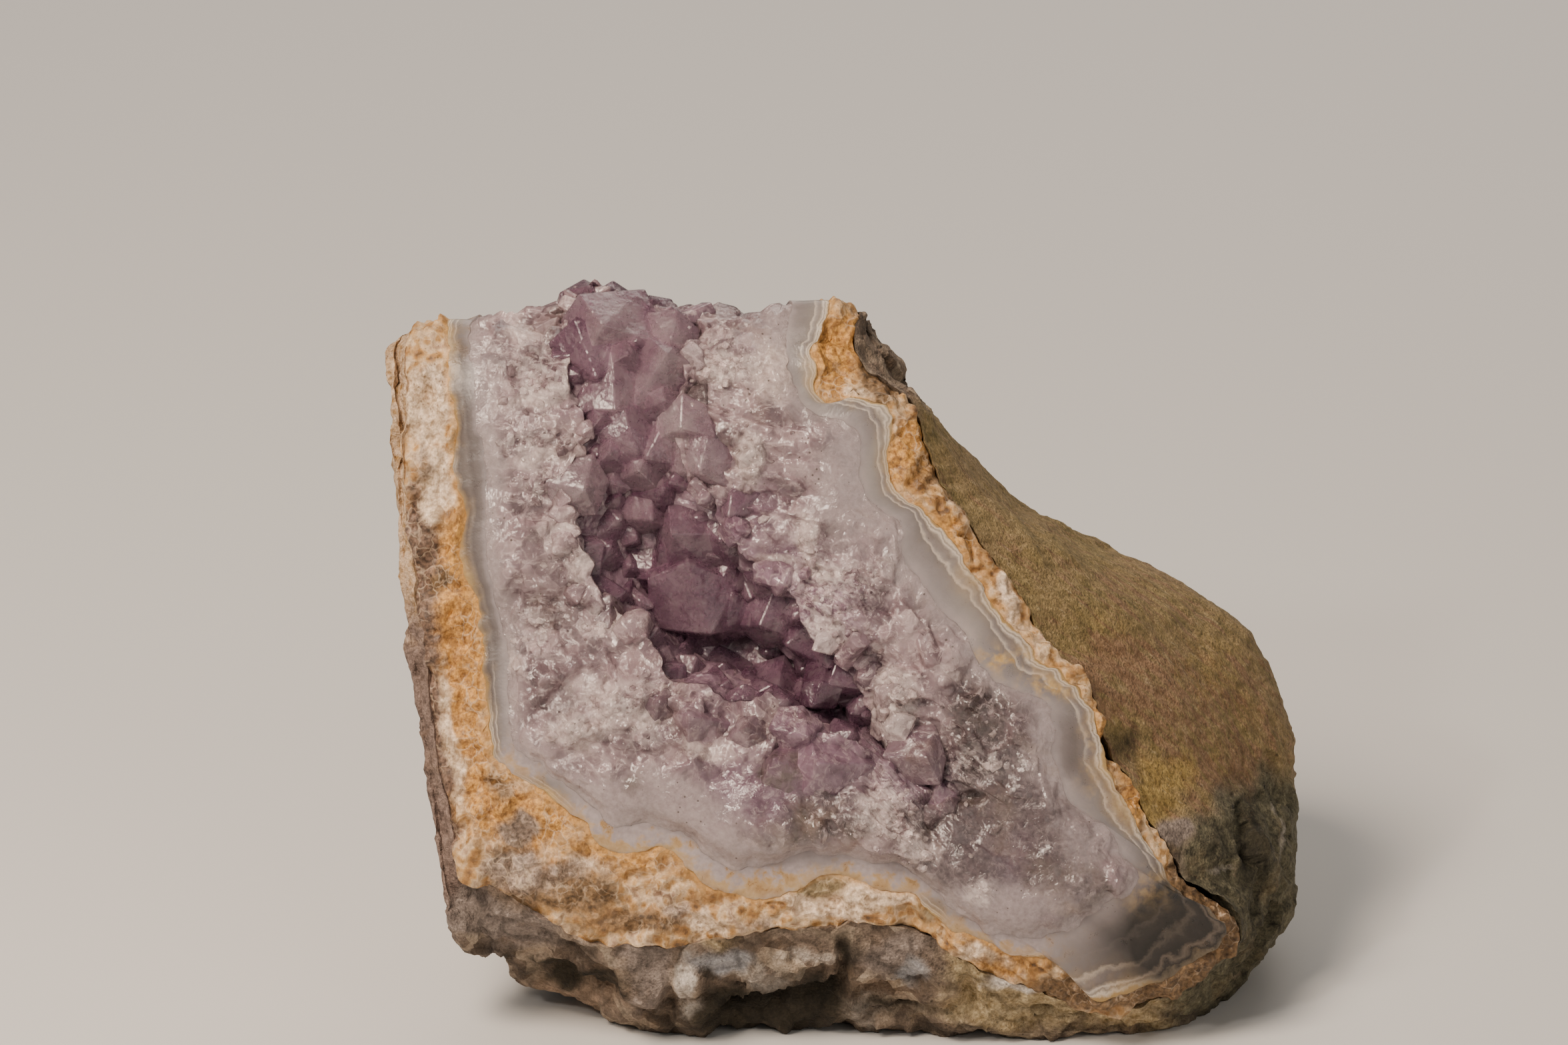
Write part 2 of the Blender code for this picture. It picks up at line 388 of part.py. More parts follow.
def crystal(name, number):
    # A six-sided prism with a six-sided point whose faces are unequal, as quartz grows.
    tip, direction, width, length = POINTS[name]
    radius = width / 2 * MM
    height = length * MM
    rise = radius * 2 * POINT_SLOPE
    spread = 0.18 * radius
    apex = (spread * math.cos(2.4 * number), spread * math.sin(2.4 * number), 0)
    mesh = bmesh.new()
    base, shoulder = [], []
    for side in range(6):
        turn = math.radians(60 * side + 17 * number)
        x, y = radius * math.cos(turn), radius * math.sin(turn)
        drop = rise * (1 + 0.16 * math.sin(side * 2.1 + number))
        base.append(mesh.verts.new((x, y, -height)))
        shoulder.append(mesh.verts.new((x, y, -drop)))
    peak = mesh.verts.new(apex)
    mesh.faces.new(base[::-1])
    for side in range(6):
        nxt = (side + 1) % 6
        mesh.faces.new((base[side], base[nxt], shoulder[nxt], shoulder[side]))
        mesh.faces.new((shoulder[side], shoulder[nxt], peak))
    point = finish_object(name, mesh)
    aim = place(np.array(direction, float)) - place((0, 0, 0))
    point.rotation_mode = "QUATERNION"
    point.rotation_quaternion = Vector(aim).to_track_quat("Z", "Y")
    point.location = Vector(place(tip))
    point.hide_render = True
    point.display_type = "WIRE"
    return point


def join_point(crust, point, name):
    union = crust.modifiers.new(name, "BOOLEAN")
    union.operation = "UNION"
    union.solver = "EXACT"
    union.object = point


def main():
    for old in list(bpy.data.objects):
        bpy.data.objects.remove(old)
    pieces = {
        "host_rock": host_rock(),
        "stained_rind": layer("stained_rind", "rock_edge", "rind_edge"),
        "agate_band": layer("agate_band", "rind_edge", "agate_edge"),
        "amethyst_crust": amethyst_crust(),
    }
    for name, piece in pieces.items():
        paint(piece, name)


main()
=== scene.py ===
import math

import bmesh
import bpy
import numpy as np
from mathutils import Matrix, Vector


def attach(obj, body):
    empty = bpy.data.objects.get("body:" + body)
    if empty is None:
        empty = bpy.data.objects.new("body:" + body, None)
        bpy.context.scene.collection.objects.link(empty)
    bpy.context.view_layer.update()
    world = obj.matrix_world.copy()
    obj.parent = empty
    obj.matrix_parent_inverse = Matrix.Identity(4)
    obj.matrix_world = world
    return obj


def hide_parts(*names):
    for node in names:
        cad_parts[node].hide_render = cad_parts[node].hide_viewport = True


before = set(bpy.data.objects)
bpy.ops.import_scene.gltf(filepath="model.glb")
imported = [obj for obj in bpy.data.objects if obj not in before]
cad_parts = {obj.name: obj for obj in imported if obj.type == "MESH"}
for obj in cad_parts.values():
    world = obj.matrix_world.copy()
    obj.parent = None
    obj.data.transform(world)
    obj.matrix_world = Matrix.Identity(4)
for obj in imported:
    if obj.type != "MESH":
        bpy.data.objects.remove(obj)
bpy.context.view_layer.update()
print("amethyst: frame loaded")

# Shapes are worked out in millimetres in the broken face: x to the right, y up the face, depth into the stone.
# The face leans back, and toWorld takes the places into the frame.
face = {"leanDeg": 22.0, "height": 38.4, "setBack": -21.0, "shiftRight": -0.2}


def toWorld(p):
    # Turns the face back by its lean about the x axis, moves it to its place, and goes from millimetres to metres.
    lean = math.radians(face["leanDeg"])
    x, y, depth = p[..., 0], p[..., 1], p[..., 2]
    back = y * math.sin(lean) + depth * math.cos(lean) + face["setBack"]
    up = y * math.cos(lean) - depth * math.sin(lean) + face["height"]
    return np.stack([x + face["shiftRight"], back, up], axis=-1) * 0.001


# Numbers that repeat from run to run

def scatter(i, j, k, salt):
    # An integer hash of a lattice place, spread evenly between 0 and 1.
    n = (i * 73856093) ^ (j * 19349663) ^ (k * 83492791) ^ (salt * 265443576)
    n = ((n ^ (n >> 13)) & 0xFFFFFFFF) * 1274126177
    n = (n ^ (n >> 16)) & 0xFFFFFF
    return n / float(0xFFFFFF)


def softNoise(p, size, salt):
    # Random values on a cubic lattice, eased from one lattice point to the next. Between -1 and 1.
    q = p / size + salt * 7.31
    low = np.floor(q).astype(np.int64)
    t = q - low
    t = t * t * (3 - 2 * t)
    total = np.zeros(p.shape[:-1])
    for corner in range(8):
        step = np.array([corner & 1, corner >> 1 & 1, corner >> 2 & 1])
        share = np.prod(np.where(step, t, 1 - t), axis=-1)
        at = low + step
        total += share * scatter(at[..., 0], at[..., 1], at[..., 2], salt)
    return total * 2 - 1


def layeredNoise(p, size, salt, layers=4, fade=0.5):
    # Sum of soft noises, each half the size of the one before and weaker by fade.
    return sum(fade**k * softNoise(p, size / 2**k, salt + 17 * k) for k in range(layers))


def cellsAround(a, b, around):
    # The nine lattice cells next to every place: their numbers, and the place as seen from their corner. a closes on
    # itself after so many cells around.
    i0, j0 = np.floor(a).astype(np.int64) - 1, np.floor(b).astype(np.int64) - 1
    for di, dj in np.ndindex(3, 3):
        yield (i0 + di) % around, j0 + dj, a - i0 - di, b - j0 - dj


def pointField(a, b, salt, around, cap=0.25, spread=0.5, tilt=0.6, reach=0.8):
    # Packed six-sided points seen from above. Each lattice cell holds one: a six-sided cone cut off by a tilted
    # plane. The highest one at a place is what shows. Returns height, and a random tone for its owner.
    best = np.full(a.shape, -9.0)
    tone = np.zeros(a.shape)
    for i, j, x, y in cellsAround(a, b, around):
        x = x - 0.5 - 0.8 * (scatter(i, j, 1, salt) - 0.5)
        y = y - 0.5 - 0.8 * (scatter(i, j, 2, salt) - 0.5)
        turn = scatter(i, j, 3, salt) * math.pi / 3
        u = x * np.cos(turn) + y * np.sin(turn)
        v = y * np.cos(turn) - x * np.sin(turn)
        away = np.maximum(np.abs(u), 0.5 * np.abs(u) + 0.866 * np.abs(v))  # six-sided distance
        rise = spread * scatter(i, j, 4, salt)
        plane = cap + tilt * ((scatter(i, j, 5, salt) - 0.5) * u + (scatter(i, j, 6, salt) - 0.5) * v)
        height = rise + np.minimum(reach - away, plane)
        tone = np.where(height > best, scatter(i, j, 7, salt), tone)
        best = np.maximum(best, height)
    return best, tone


def brokenField(p, size, salt, edge=0.25):
    # Rock broken into facets: space is split into irregular cells, and each cell slopes its own way.
    # Slopes die out towards the cell walls, where a groove is left.
    q = p / size
    low = np.floor(q).astype(np.int64)
    first = np.full(p.shape[:-1], 9.0)
    second = first.copy()
    slope = np.zeros(p.shape[:-1])
    for step in np.ndindex(3, 3, 3):
        cell = low + np.array(step) - 1
        i, j, k = cell[..., 0], cell[..., 1], cell[..., 2]
        seed = cell + np.stack([scatter(i, j, k, salt + s) for s in (1, 2, 3)], axis=-1)
        away = q - seed
        lean = np.stack([scatter(i, j, k, salt + s) - 0.5 for s in (4, 5, 6)], axis=-1)
        height = np.sum(away * lean, axis=-1) * 2 + 0.6 * (scatter(i, j, k, salt + 7) - 0.5)
        far = np.linalg.norm(away, axis=-1)
        nearer = far < first
        second = np.where(nearer, first, np.minimum(second, far))
        slope = np.where(nearer, height, slope)
        first = np.minimum(first, far)
    groove = np.clip((second - first) / edge, 0, 1)
    return slope * (0.35 + 0.65 * groove), groove


def scarps(p, lines):
    # Ledges along straight lines (x, y, x, y, drop, reach): below the line, on its right-hand side as it runs, the
    # surface drops at once and comes back over reach. The line wanders a little, and fades at its ends.
    warp = np.stack([layeredNoise(p, 3.0, 93, 3), layeredNoise(p, 3.0, 94, 3)], axis=-1) * 0.5
    q = p[..., :2] + warp
    total = np.zeros(p.shape[:-1])
    for x0, y0, x1, y1, drop, reach in lines:
        run = np.array([x1 - x0, y1 - y0])
        length = np.hypot(*run)
        run = run / length
        along = (q[..., 0] - x0) * run[0] + (q[..., 1] - y0) * run[1]
        below = (q[..., 0] - x0) * run[1] - (q[..., 1] - y0) * run[0]
        ends = np.clip(np.minimum(along, length - along) / 1.5, 0, 1)
        total += drop * ends * np.clip((below + 0.15) / 0.3, 0, 1) * np.exp(-np.clip(below, 0, None) / reach)
    return total


def blobs(p, spots):
    # Soft round patches (x, y, half width, half height, strength), pushed about by noise so their edges wander.
    warp = np.stack([layeredNoise(p, 5.0, 91, 3), layeredNoise(p, 5.0, 92, 3)], axis=-1) * 1.3
    q = p[..., :2] + warp
    total = np.zeros(p.shape[:-1])
    for x, y, wide, tall, strength in spots:
        total += strength * np.exp(-(((q[..., 0] - x) / wide) ** 2) - ((q[..., 1] - y) / tall) ** 2)
    return np.clip(total, 0, 1)


# Outlines, each clockwise for the viewer in nine legs that start at: top left corner, top left and top right
# of the hollow, top right peak, notch under it, right side, lower right nose, bottom middle, bottom left corner.
stations = (60, 40, 70, 50, 130, 120, 100, 140, 130)

outlines = {
    "back": (
        ((-42, 24, 20), (-38, 24, 28), (-30, 25, 31)),
        ((-27, 25, 32), (-24, 25, 32), (-21, 25, 32)),
        ((-18, 25, 32), (-12, 25, 32), (-6, 25, 31), (0, 25.5, 28)),
        ((4, 26, 24), (6, 25, 22)),
        ((9, 22.5, 24), (14, 18, 28), (20, 14, 34), (28, 10.5, 39), (35, 7, 41)),
        ((39, 3, 43), (41.5, -3, 43), (42.5, -9, 42), (42.5, -15, 40), (42, -20, 38)),
        ((40, -25, 36), (34, -29, 34), (26, -32, 32), (16, -33, 30)),
        ((6, -33, 30), (-6, -33, 30), (-16, -32, 29), (-26, -29, 27), (-33, -25, 24)),
        ((-37.5, -18, 20), (-39, -10, 20), (-40.5, 0, 20), (-42, 10, 18), (-43, 18, 17)),
    ),
    "flank": (
        ((-45, 31.6, 8), (-42, 33, 15), (-36, 31.4, 20.5), (-29.5, 31.8, 22)),
        ((-27, 32.2, 22.5), (-24.5, 32.6, 22.5), (-21.5, 32, 22.5)),
        ((-19.3, 31.3, 22.5), (-15, 31.3, 22.5), (-9, 31.2, 22), (-3, 31.4, 20.5), (2, 33, 14)),
        ((3.2, 33.4, 10.5), (3.4, 32.0, 9), (4.3, 31, 9.5), (5.1, 28.8, 10.5)),
        ((5.6, 27.8, 12), (8, 25.2, 16), (10, 22.8, 18), (13, 20.3, 20), (17, 15.8, 22), (20, 14.5, 24),
         (25, 11.9, 27), (30, 9.8, 29), (35, 7, 30)),
        ((38.2, 5, 31), (41, 2.2, 31), (43.5, -3, 31), (44.7, -8, 30), (44.3, -12, 28), (45, -16, 26),
         (45.4, -22, 24)),
        ((44.7, -25.8, 24), (40, -30.5, 22), (35, -34.8, 20), (32.5, -36.4, 18), (27, -36.2, 14),
         (20, -36.9, 12), (13, -37.1, 12)),
        ((5, -36.4, 12), (-3, -36.6, 13), (-9, -36.6, 13), (-15.5, -36.7, 13), (-21, -34.9, 14),
         (-26, -33.6, 15), (-30, -32, 16), (-33.5, -28.4, 15), (-36, -27.5, 12), (-37.6, -28, 9)),
        ((-38.8, -26, 7), (-39.7, -22, 6), (-40.6, -16, 6), (-41.6, -11, 7), (-42.2, -5, 7), (-43.2, 0, 7),
         (-43.4, 4, 7), (-43.9, 10, 6), (-44.4, 18, 5), (-44.5, 24, 4.5), (-45, 29, 5)),
    ),
    "shoulder": (
        ((-44.6, 32.2, 6.3), (-41.5, 33.9, 11.5), (-36, 32.6, 17), (-29.5, 33, 18.5)),
        ((-27, 33.6, 19), (-24.5, 34, 19), (-21.5, 33.4, 19)),
        ((-19.3, 32.6, 19), (-15, 32.7, 19), (-9, 32.6, 18.5), (-3.5, 33, 16.5), (1.4, 34.6, 10.5)),
        ((2.5, 34.8, 7.5), (2.5, 32.4, 6), (3.4, 30.4, 5.6), (4.4, 28.2, 5.6)),
        ((6.4, 26, 6), (8.6, 23.6, 8), (11.3, 20.6, 9.5), (14, 17.4, 10), (17.5, 14, 10.5), (21, 11.5, 11.5),
         (25, 8.6, 13), (29, 5.2, 14)),
        ((32, 1, 15), (35, -3.5, 16), (37.5, -8, 17), (39.6, -12, 17.5), (39.4, -16, 14), (40, -21, 13)),
        ((41, -26.5, 14), (38.5, -29.8, 14), (34.8, -32.8, 13), (30.5, -35, 12), (25, -35.8, 10),
         (19, -35.5, 8.5), (13.5, -34.6, 7)),
        ((7, -32.2, 6.5), (0, -31.6, 6), (-6, -31.6, 6.2), (-12, -32, 6.6), (-17, -32.6, 7), (-22, -31.6, 7.5),
         (-27.5, -29.4, 7.6), (-33, -26.2, 6.6), (-36.6, -24.6, 5.6)),
        ((-39.4, -21.5, 4.8), (-40.2, -15.5, 5), (-41.2, -9, 5.2), (-42, -3, 5.2), (-42.8, 3, 5),
         (-43.6, 11, 4.6), (-44.1, 19, 4), (-44.6, 26, 4.2)),
    ),
    "rockEdge": (
        ((-43.6, 32.6, 4.5), (-41, 33.6, 9), (-36, 32.8, 14), (-29.5, 33.4, 15.5)),
        ((-27.2, 34, 16), (-24.5, 34.4, 16), (-21.6, 33.8, 16)),
        ((-19.5, 33.1, 16), (-15, 33.3, 16), (-9.5, 33.2, 15.5), (-4.5, 33.6, 13.5), (0.2, 35, 8.5)),
        ((1.6, 35.2, 6.2), (1.1, 33.5, 4), (1, 31.5, 3), (2, 29.6, 2.5), (3.6, 28, 2.4), (5, 27, 2.2)),
        ((6.4, 25.8, 2), (7.4, 23, 2), (8.4, 20.4, 2), (9.5, 18, 2), (10.8, 15.9, 2),
         (12.3, 13.8, 2), (14.2, 11, 2), (15.8, 8.6, 2), (17.6, 6.2, 2), (18.6, 4.2, 2)),
        ((19.9, 2, 2), (22.6, -0.6, 2.3), (24.8, -3.6, 2.6), (26, -7, 2.8), (27.2, -10.2, 3.2),
         (29.5, -14, 3.8), (31.8, -18, 4.6), (33.6, -21.4, 5.4), (36.6, -22.9, 6)),
        ((39.3, -25, 7), (38.4, -28.3, 7.5), (34.5, -31.2, 7.5), (30, -33.2, 7.5), (25, -34.6, 7),
         (21, -33.6, 6), (17, -31.5, 5), (13.5, -30, 4), (10.3, -28.2, 3.4)),
        ((8.3, -26.6, 3), (4.5, -25.6, 2.6), (-1, -25.5, 2.4), (-6, -26, 2.4), (-11.5, -27.1, 2.6),
         (-17, -27.6, 2.8), (-22.5, -27.6, 3), (-26.5, -27.2, 3.2), (-30.5, -24.9, 3.2), (-34.8, -22.2, 3.2)),
        ((-38.2, -20.6, 3.4), (-39, -16, 3.6), (-40, -10.5, 3.8), (-41, -5, 3.8), (-41.6, 0, 3.6),
         (-42.2, 5, 3.4), (-43, 12, 3), (-43.6, 19, 2.6), (-43.9, 26, 2.6)),
    ),
    "rindEdge": (
        ((-39.3, 34.2, 6.2), (-37.5, 33.6, 11), (-33, 33.2, 13.5), (-29, 34, 14)),
        ((-27.3, 34.8, 14), (-24.5, 35.2, 14), (-21.8, 34.6, 14)),
        ((-19.8, 33.9, 14), (-15.5, 34.1, 14), (-10.5, 33.9, 13.5), (-6.5, 34.2, 11.5), (-3.2, 35.4, 8)),
        ((-1.8, 36.2, 5.6), (-2.2, 34.2, 3), (-2.9, 32.2, 2), (-3.4, 31, 1.5), (-3, 29.6, 1), (-3.1, 28, 1),
         (-2.4, 26.8, 0.8), (-1, 26.3, 0.8), (1.2, 26.3, 0.6), (3.2, 26, 0.6)),
        ((4.5, 24.8, 0.6), (4.4, 22, 0.6), (4.2, 19, 0.6),
         (5, 16.8, 0.6), (7.3, 15.3, 0.6), (9.4, 13.6, 0.6), (10.8, 12, 0.6), (12, 10, 0.6),
         (13.2, 8, 0.8), (14.4, 6, 0.8), (15.7, 4.2, 0.8)),
        ((17.6, 2.6, 0.9), (19.2, 0.8, 1), (21.3, -0.6, 1.2), (23, -2.4, 1.5), (24.2, -4.4, 1.7),
         (24.8, -6.8, 1.8), (25.6, -9.2, 2), (26.6, -11.4, 2.2), (27.6, -13.8, 2.5), (29.4, -17.1, 3),
         (31, -19.8, 3.5), (32.2, -22, 4), (34, -23.6, 4.4), (36, -24.2, 4.9)),
        ((37.7, -25.8, 5.5), (36.9, -27.5, 5.5), (34, -29.4, 5.2), (31, -31, 4.8), (28, -32.3, 4.5),
         (25.3, -32.8, 4.2), (23.2, -31.2, 3.8), (21.5, -29.2, 3.4), (18.5, -28.9, 3), (14, -27.3, 2.6),
         (10.8, -26.1, 2.2)),
        ((8.2, -24.6, 1.8), (6.6, -22.4, 1.6), (3, -21.7, 1.4), (0, -20.9, 1.4), (-2.6, -20.9, 1.4),
         (-5, -22.2, 1.5), (-8, -23.2, 1.6), (-11.5, -22.4, 1.6), (-14.3, -21.5, 1.6), (-16.3, -19.2, 1.6),
         (-18.6, -18, 1.6), (-21.5, -18.6, 1.6), (-24, -17.8, 1.6), (-26.2, -15.2, 1.6), (-29.5, -12.8, 1.7),
         (-32.3, -11, 1.8)),
        ((-34.5, -9.6, 1.9), (-35.4, -6.5, 2), (-35.7, -2, 2), (-35.9, 2.5, 2), (-36.6, 6.5, 2),
         (-38, 9.5, 2), (-38.4, 12.5, 2), (-37.5, 15.2, 2), (-38.6, 18.5, 2), (-38.8, 21, 2),
         (-38.3, 23.8, 2), (-39.2, 27, 2.2), (-39.3, 31, 3.5)),
    ),
    "agateEdge": (
        ((-37.2, 34.2, 6), (-35.5, 34.2, 9.5), (-32, 34.2, 11), (-29.5, 35, 11.5)),
        ((-27.5, 36, 11.5), (-24.5, 36.6, 11.5), (-22, 35.8, 11.5)),
        ((-20, 35, 11.5), (-16, 35.3, 11.5), (-11, 35, 11), (-8, 34.7, 9.5), (-6.3, 35.6, 7)),
        ((-5.4, 36.2, 5.5), (-6.2, 33.5, 3), (-6.3, 31.8, 2), (-5.6, 29.8, 1), (-5.6, 28, 0.8),
         (-4.8, 26.4, 0.6), (-3, 25.2, 0.5), (-1, 24.8, 0.2)),
        ((0.6, 23.8, 0), (1.2, 22, 0), (1.2, 19.6, 0), (1.8, 17.4, 0), (3.2, 15.8, 0),
         (5, 14.3, 0), (5.8, 12, 0), (6.9, 9, 0), (8.3, 6.8, 0), (9.5, 5, 0), (11.2, 3.8, 0),
         (12.3, 2.2, 0)),
        ((13.5, 0.2, 0.3), (15.5, -2, 0.5), (19, -2.8, 0.8), (20.4, -4.8, 1), (20.3, -8, 1),
         (20.8, -11, 1.2), (22, -13, 1.2), (24, -14.4, 1.5), (26, -16.2, 1.8), (27.6, -18.4, 2.2),
         (28.6, -20.8, 2.4)),
        ((27.6, -22.6, 2.4), (24.5, -23.9, 2.4), (21.6, -26.2, 2.4), (17.5, -26.8, 2.2), (14, -26, 2),
         (10.5, -24.4, 1.5)),
        ((8.4, -22, 1.2), (5.8, -20.2, 1), (2.5, -19.7, 1), (0, -18.9, 1), (-4, -18.8, 1), (-8, -19.8, 1),
         (-11.5, -20.3, 1), (-14.2, -18.2, 1), (-17, -15.8, 1), (-19.5, -15.3, 1), (-22.5, -15.8, 1),
         (-25, -13.8, 1), (-28, -11.6, 1), (-31, -9.6, 1)),
        ((-32.6, -8, 1.2), (-33.3, -5, 1.3), (-33.5, 0, 1.3), (-34, 4, 1.3), (-35, 7.5, 1.2),
         (-35.6, 12, 1), (-35.8, 17, 1), (-36.1, 21, 1), (-36.6, 26, 1.2), (-37, 30, 2.5)),
    ),
    "crown": (
        ((-35.5, 34.4, 5.2), (-34, 35, 6.6), (-31.5, 35.4, 7.2), (-28.8, 36.3, 7.6)),
        ((-27.6, 37.3, 8), (-25.3, 38, 8.2), (-22.5, 37, 8)),
        ((-20.4, 35.9, 7.6), (-18.5, 36.4, 7.4), (-12.5, 36.1, 7.2), (-9, 35.5, 6), (-7.4, 36, 5.2)),
        ((-7.6, 35, 4), (-8.6, 32.6, 2.2), (-8.8, 30.6, 1), (-9, 28.4, 0.4), (-8.4, 26, 0), (-6.4, 24, -0.4)),
        ((-4, 22.6, -0.6), (-3, 19, -0.8), (-1.6, 16, -0.8), (1, 13, -0.8), (2.4, 9.4, -0.8),
         (4.4, 6, -0.8), (7, 2.8, -0.8)),
        ((9.4, -0.6, -0.8), (12, -4, -0.8), (15.4, -7, -0.6), (16.8, -11, -0.4), (18.8, -14.4, -0.2),
         (21.4, -17.4, 0.2)),
        ((22, -20.6, 0.4), (18.8, -23, 0.2), (14.8, -23.2, 0), (11, -21.6, -0.2)),
        ((7.4, -18.8, -0.6), (3, -16.8, -1.2), (-2, -15.8, -1.6), (-8, -16, -1.6), (-13, -15, -1.4),
         (-18, -12.6, -1), (-23, -11.4, -0.6), (-27.4, -9, -0.2)),
        ((-30, -5.6, 0), (-30.6, 0, 0.1), (-31.4, 5, 0.2), (-32.6, 11, 0.2), (-33, 18, 0.2),
         (-33.6, 25, 0.6), (-34.4, 31, 2.6)),
    ),
    "rim": (
        ((-27.6, 33.4, 3.5), (-27.2, 35.4, 5.4)),
        ((-26.2, 36.8, 6.6), (-24.2, 37.2, 7.2), (-22, 36.4, 7)),
        ((-20.2, 35.4, 6), (-18.6, 34.6, 4.5), (-17, 33, 3)),
        ((-16.4, 31.4, 2), (-16.2, 29.5, 1.2), (-16.4, 27.2, 0.8)),
        ((-17.3, 24.8, 0.6), (-17, 21.8, 0.4), (-16.2, 19, 0.2), (-14.8, 17.2, 0), (-12.8, 16.6, 0),
         (-12.3, 14, 0), (-10.8, 12.2, 0), (-8.6, 9.4, 0), (-5.6, 6.4, 0)),
        ((-4, 3.6, 0), (-1.8, 1.2, 0), (0.6, -1.2, 0), (2.4, -3.8, 0), (3.8, -6.4, 0), (5, -8.4, 0.4)),
        ((5.4, -9.8, 0.4), (3.6, -9.4, -0.5), (1.6, -8, -1)),
        ((-1, -6.6, -1), (-4.2, -5.4, -1.2), (-5.4, -3.4, -1), (-7.8, -2.4, -1), (-11, -3, -1.4),
         (-14, -2.2, -1.4), (-16.8, -2, -1)),
        ((-18.2, -0.6, -0.6), (-18.6, 2.2, 0), (-20.6, 4.6, 0.3), (-22.6, 6, 0.5), (-24.4, 8.2, 0.6),
         (-25.4, 11, 0.7), (-27, 14, 0.8), (-28, 17.4, 0.8), (-27.4, 20, 0.8), (-25.6, 22, 0.8),
         (-25.8, 24.8, 0.9), (-27.2, 27, 1), (-27.3, 30.2, 1.6)),
    ),
    "floor": (
        ((-24.6, 32.6, 9), (-24.5, 33.8, 9.4)),
        ((-24.1, 34.8, 9.8), (-23.2, 35.2, 10), (-22.3, 34.8, 9.8)),
        ((-21.7, 34, 9.2), (-21.1, 33, 8.4)),
        ((-20.6, 31.6, 7.6), (-20.2, 30, 7), (-20, 28.4, 6.8)),
        ((-19.8, 26.6, 7), (-19.7, 24, 8), (-19.6, 21, 9.4), (-19.4, 18, 11), (-19, 15, 12.8), (-18, 12, 14.4),
         (-16.4, 9.2, 16), (-14, 6.4, 17.4), (-11, 3.8, 18.4), (-8, 2, 18.2)),
        ((-6, 0.8, 17.2), (-4.2, -0.6, 15.4), (-2.4, -2.2, 13.4), (-0.4, -4, 11.2), (1.2, -5.4, 9.4)),
        ((2.4, -6.5, 8), (2.6, -7.4, 7.4), (1.8, -7.7, 7.6)),
        ((0.4, -7, 9), (-1.8, -5.4, 11.4), (-4.6, -3.4, 14.4), (-7.4, -1.6, 17), (-10.4, -0.6, 18.6),
         (-13, 0.2, 19)),
        ((-15.6, 2.2, 18.6), (-17.8, 5, 17.4), (-19.8, 8, 16), (-21.2, 11.4, 14.2), (-22.1, 15, 12.4),
         (-22.6, 18.6, 10.6), (-23, 22, 9.2), (-23.4, 25.4, 8.2), (-24, 29, 8)),
    ),
}


curveSteps = 24  # steps of a curve between two points of an outline


def curveBetween(a, b, c, d, steps):
    # Catmull-Rom: from b (t = 0) to c (t = 1), heading along a-to-c at b and along b-to-d at c.
    t = np.linspace(0, 1, steps, endpoint=False)[:, None, None]
    return 0.5 * (2 * b + (c - a) * t + (2 * a - 5 * b + 4 * c - d) * t**2 + (3 * b - a - 3 * c + d) * t**3)


def outline(name):
    # A closed curve through the outline's points, then each leg shared out evenly among its stations.
    legs = outlines[name]
    points = np.array([point for leg in legs for point in leg], float)
    curve = curveBetween(*(np.roll(points, k, axis=0) for k in (1, 0, -1, -2)), curveSteps)
    curve = np.vstack([curve.transpose(1, 0, 2).reshape(-1, 3), points[:1]])
    starts = np.cumsum([0] + [len(leg) for leg in legs]) * curveSteps
    legsOut = []
    for leg, count in enumerate(stations):
        part = curve[starts[leg] : starts[leg + 1] + 1]
        run = np.append(0, np.cumsum(np.linalg.norm(np.diff(part, axis=0), axis=1)))
        want = np.linspace(0, run[-1], count, endpoint=False)
        legsOut.append(np.stack([np.interp(want, run, part[:, k]) for k in range(3)], axis=1))
    return np.vstack(legsOut)


def unit(v, least=0.0):
    # Each vector divided by its length.
    return v / (np.linalg.norm(v, axis=-1, keepdims=True) + least)


def wander(ring, amount, size, salt):
    # Moves an outline sideways in the face by noise, so that two minerals meet along a natural line.
    way = np.roll(ring, -3, axis=0) - np.roll(ring, 3, axis=0)
    side = unit(np.stack([way[:, 1], -way[:, 0]], axis=1), 1e-9)
    moved = ring.copy()
    moved[:, :2] += side * (amount * layeredNoise(ring, size, salt, 3))[:, None]
    return moved


def rowsThrough(rings, counts):
    # Rows between given rings: a curve runs through the same station of every ring.
    rings = np.array(rings)
    ends = np.concatenate([rings[:1] * 2 - rings[1:2], rings, rings[-1:] * 2 - rings[-2:-1]])
    rows = [curveBetween(*ends[k : k + 4], count) for k, count in enumerate(counts)]
    return np.concatenate(rows + [rings[-1:]])


def facing(grid, awayFrom=None):
    # Unit normals of a grid, across its rings and rows, turned to the viewer or away from a place inside.
    around = np.roll(grid, -1, axis=1) - np.roll(grid, 1, axis=1)
    normal = unit(np.cross(around, np.gradient(grid, axis=0)), 1e-9)
    side = -np.mean(normal[..., 2]) if awayFrom is None else np.sum(normal * (grid - awayFrom))
    return normal * np.sign(side)


def lengthDown(grid):
    # How far each place is from the first row, measured down its own column.
    steps = np.linalg.norm(np.diff(grid, axis=0), axis=2)
    return np.vstack([np.zeros(grid.shape[1]), np.cumsum(steps, axis=0)])


def mounds(grid, spots, reach, slope):
    # Flat-topped mounds (x, y, half width, half height, rise): rise x (reach - distance) / slope, held in 0 to 1.
    total = 0
    for x, y, wide, tall, rise in spots:
        away = np.hypot((grid[..., 0] - x) / wide, (grid[..., 1] - y) / tall)
        total = total + rise * np.clip(reach - away, 0, slope) / slope
    return total


def zonesOf(grid, zones):
    # How strong every named zone is over a grid.
    return {name: blobs(grid, spots) for name, spots in zones.items()}


bowls = {"centre": (-4.0, 1.0), "anglesDeg": (22.0, 44.0, 68.0), "power": 0.7, "waves": 26.0, "gap": 0.1,
         "depths": {"rockEdge": 36.0, "rindEdge": 33.5, "agateEdge": 30.5}}


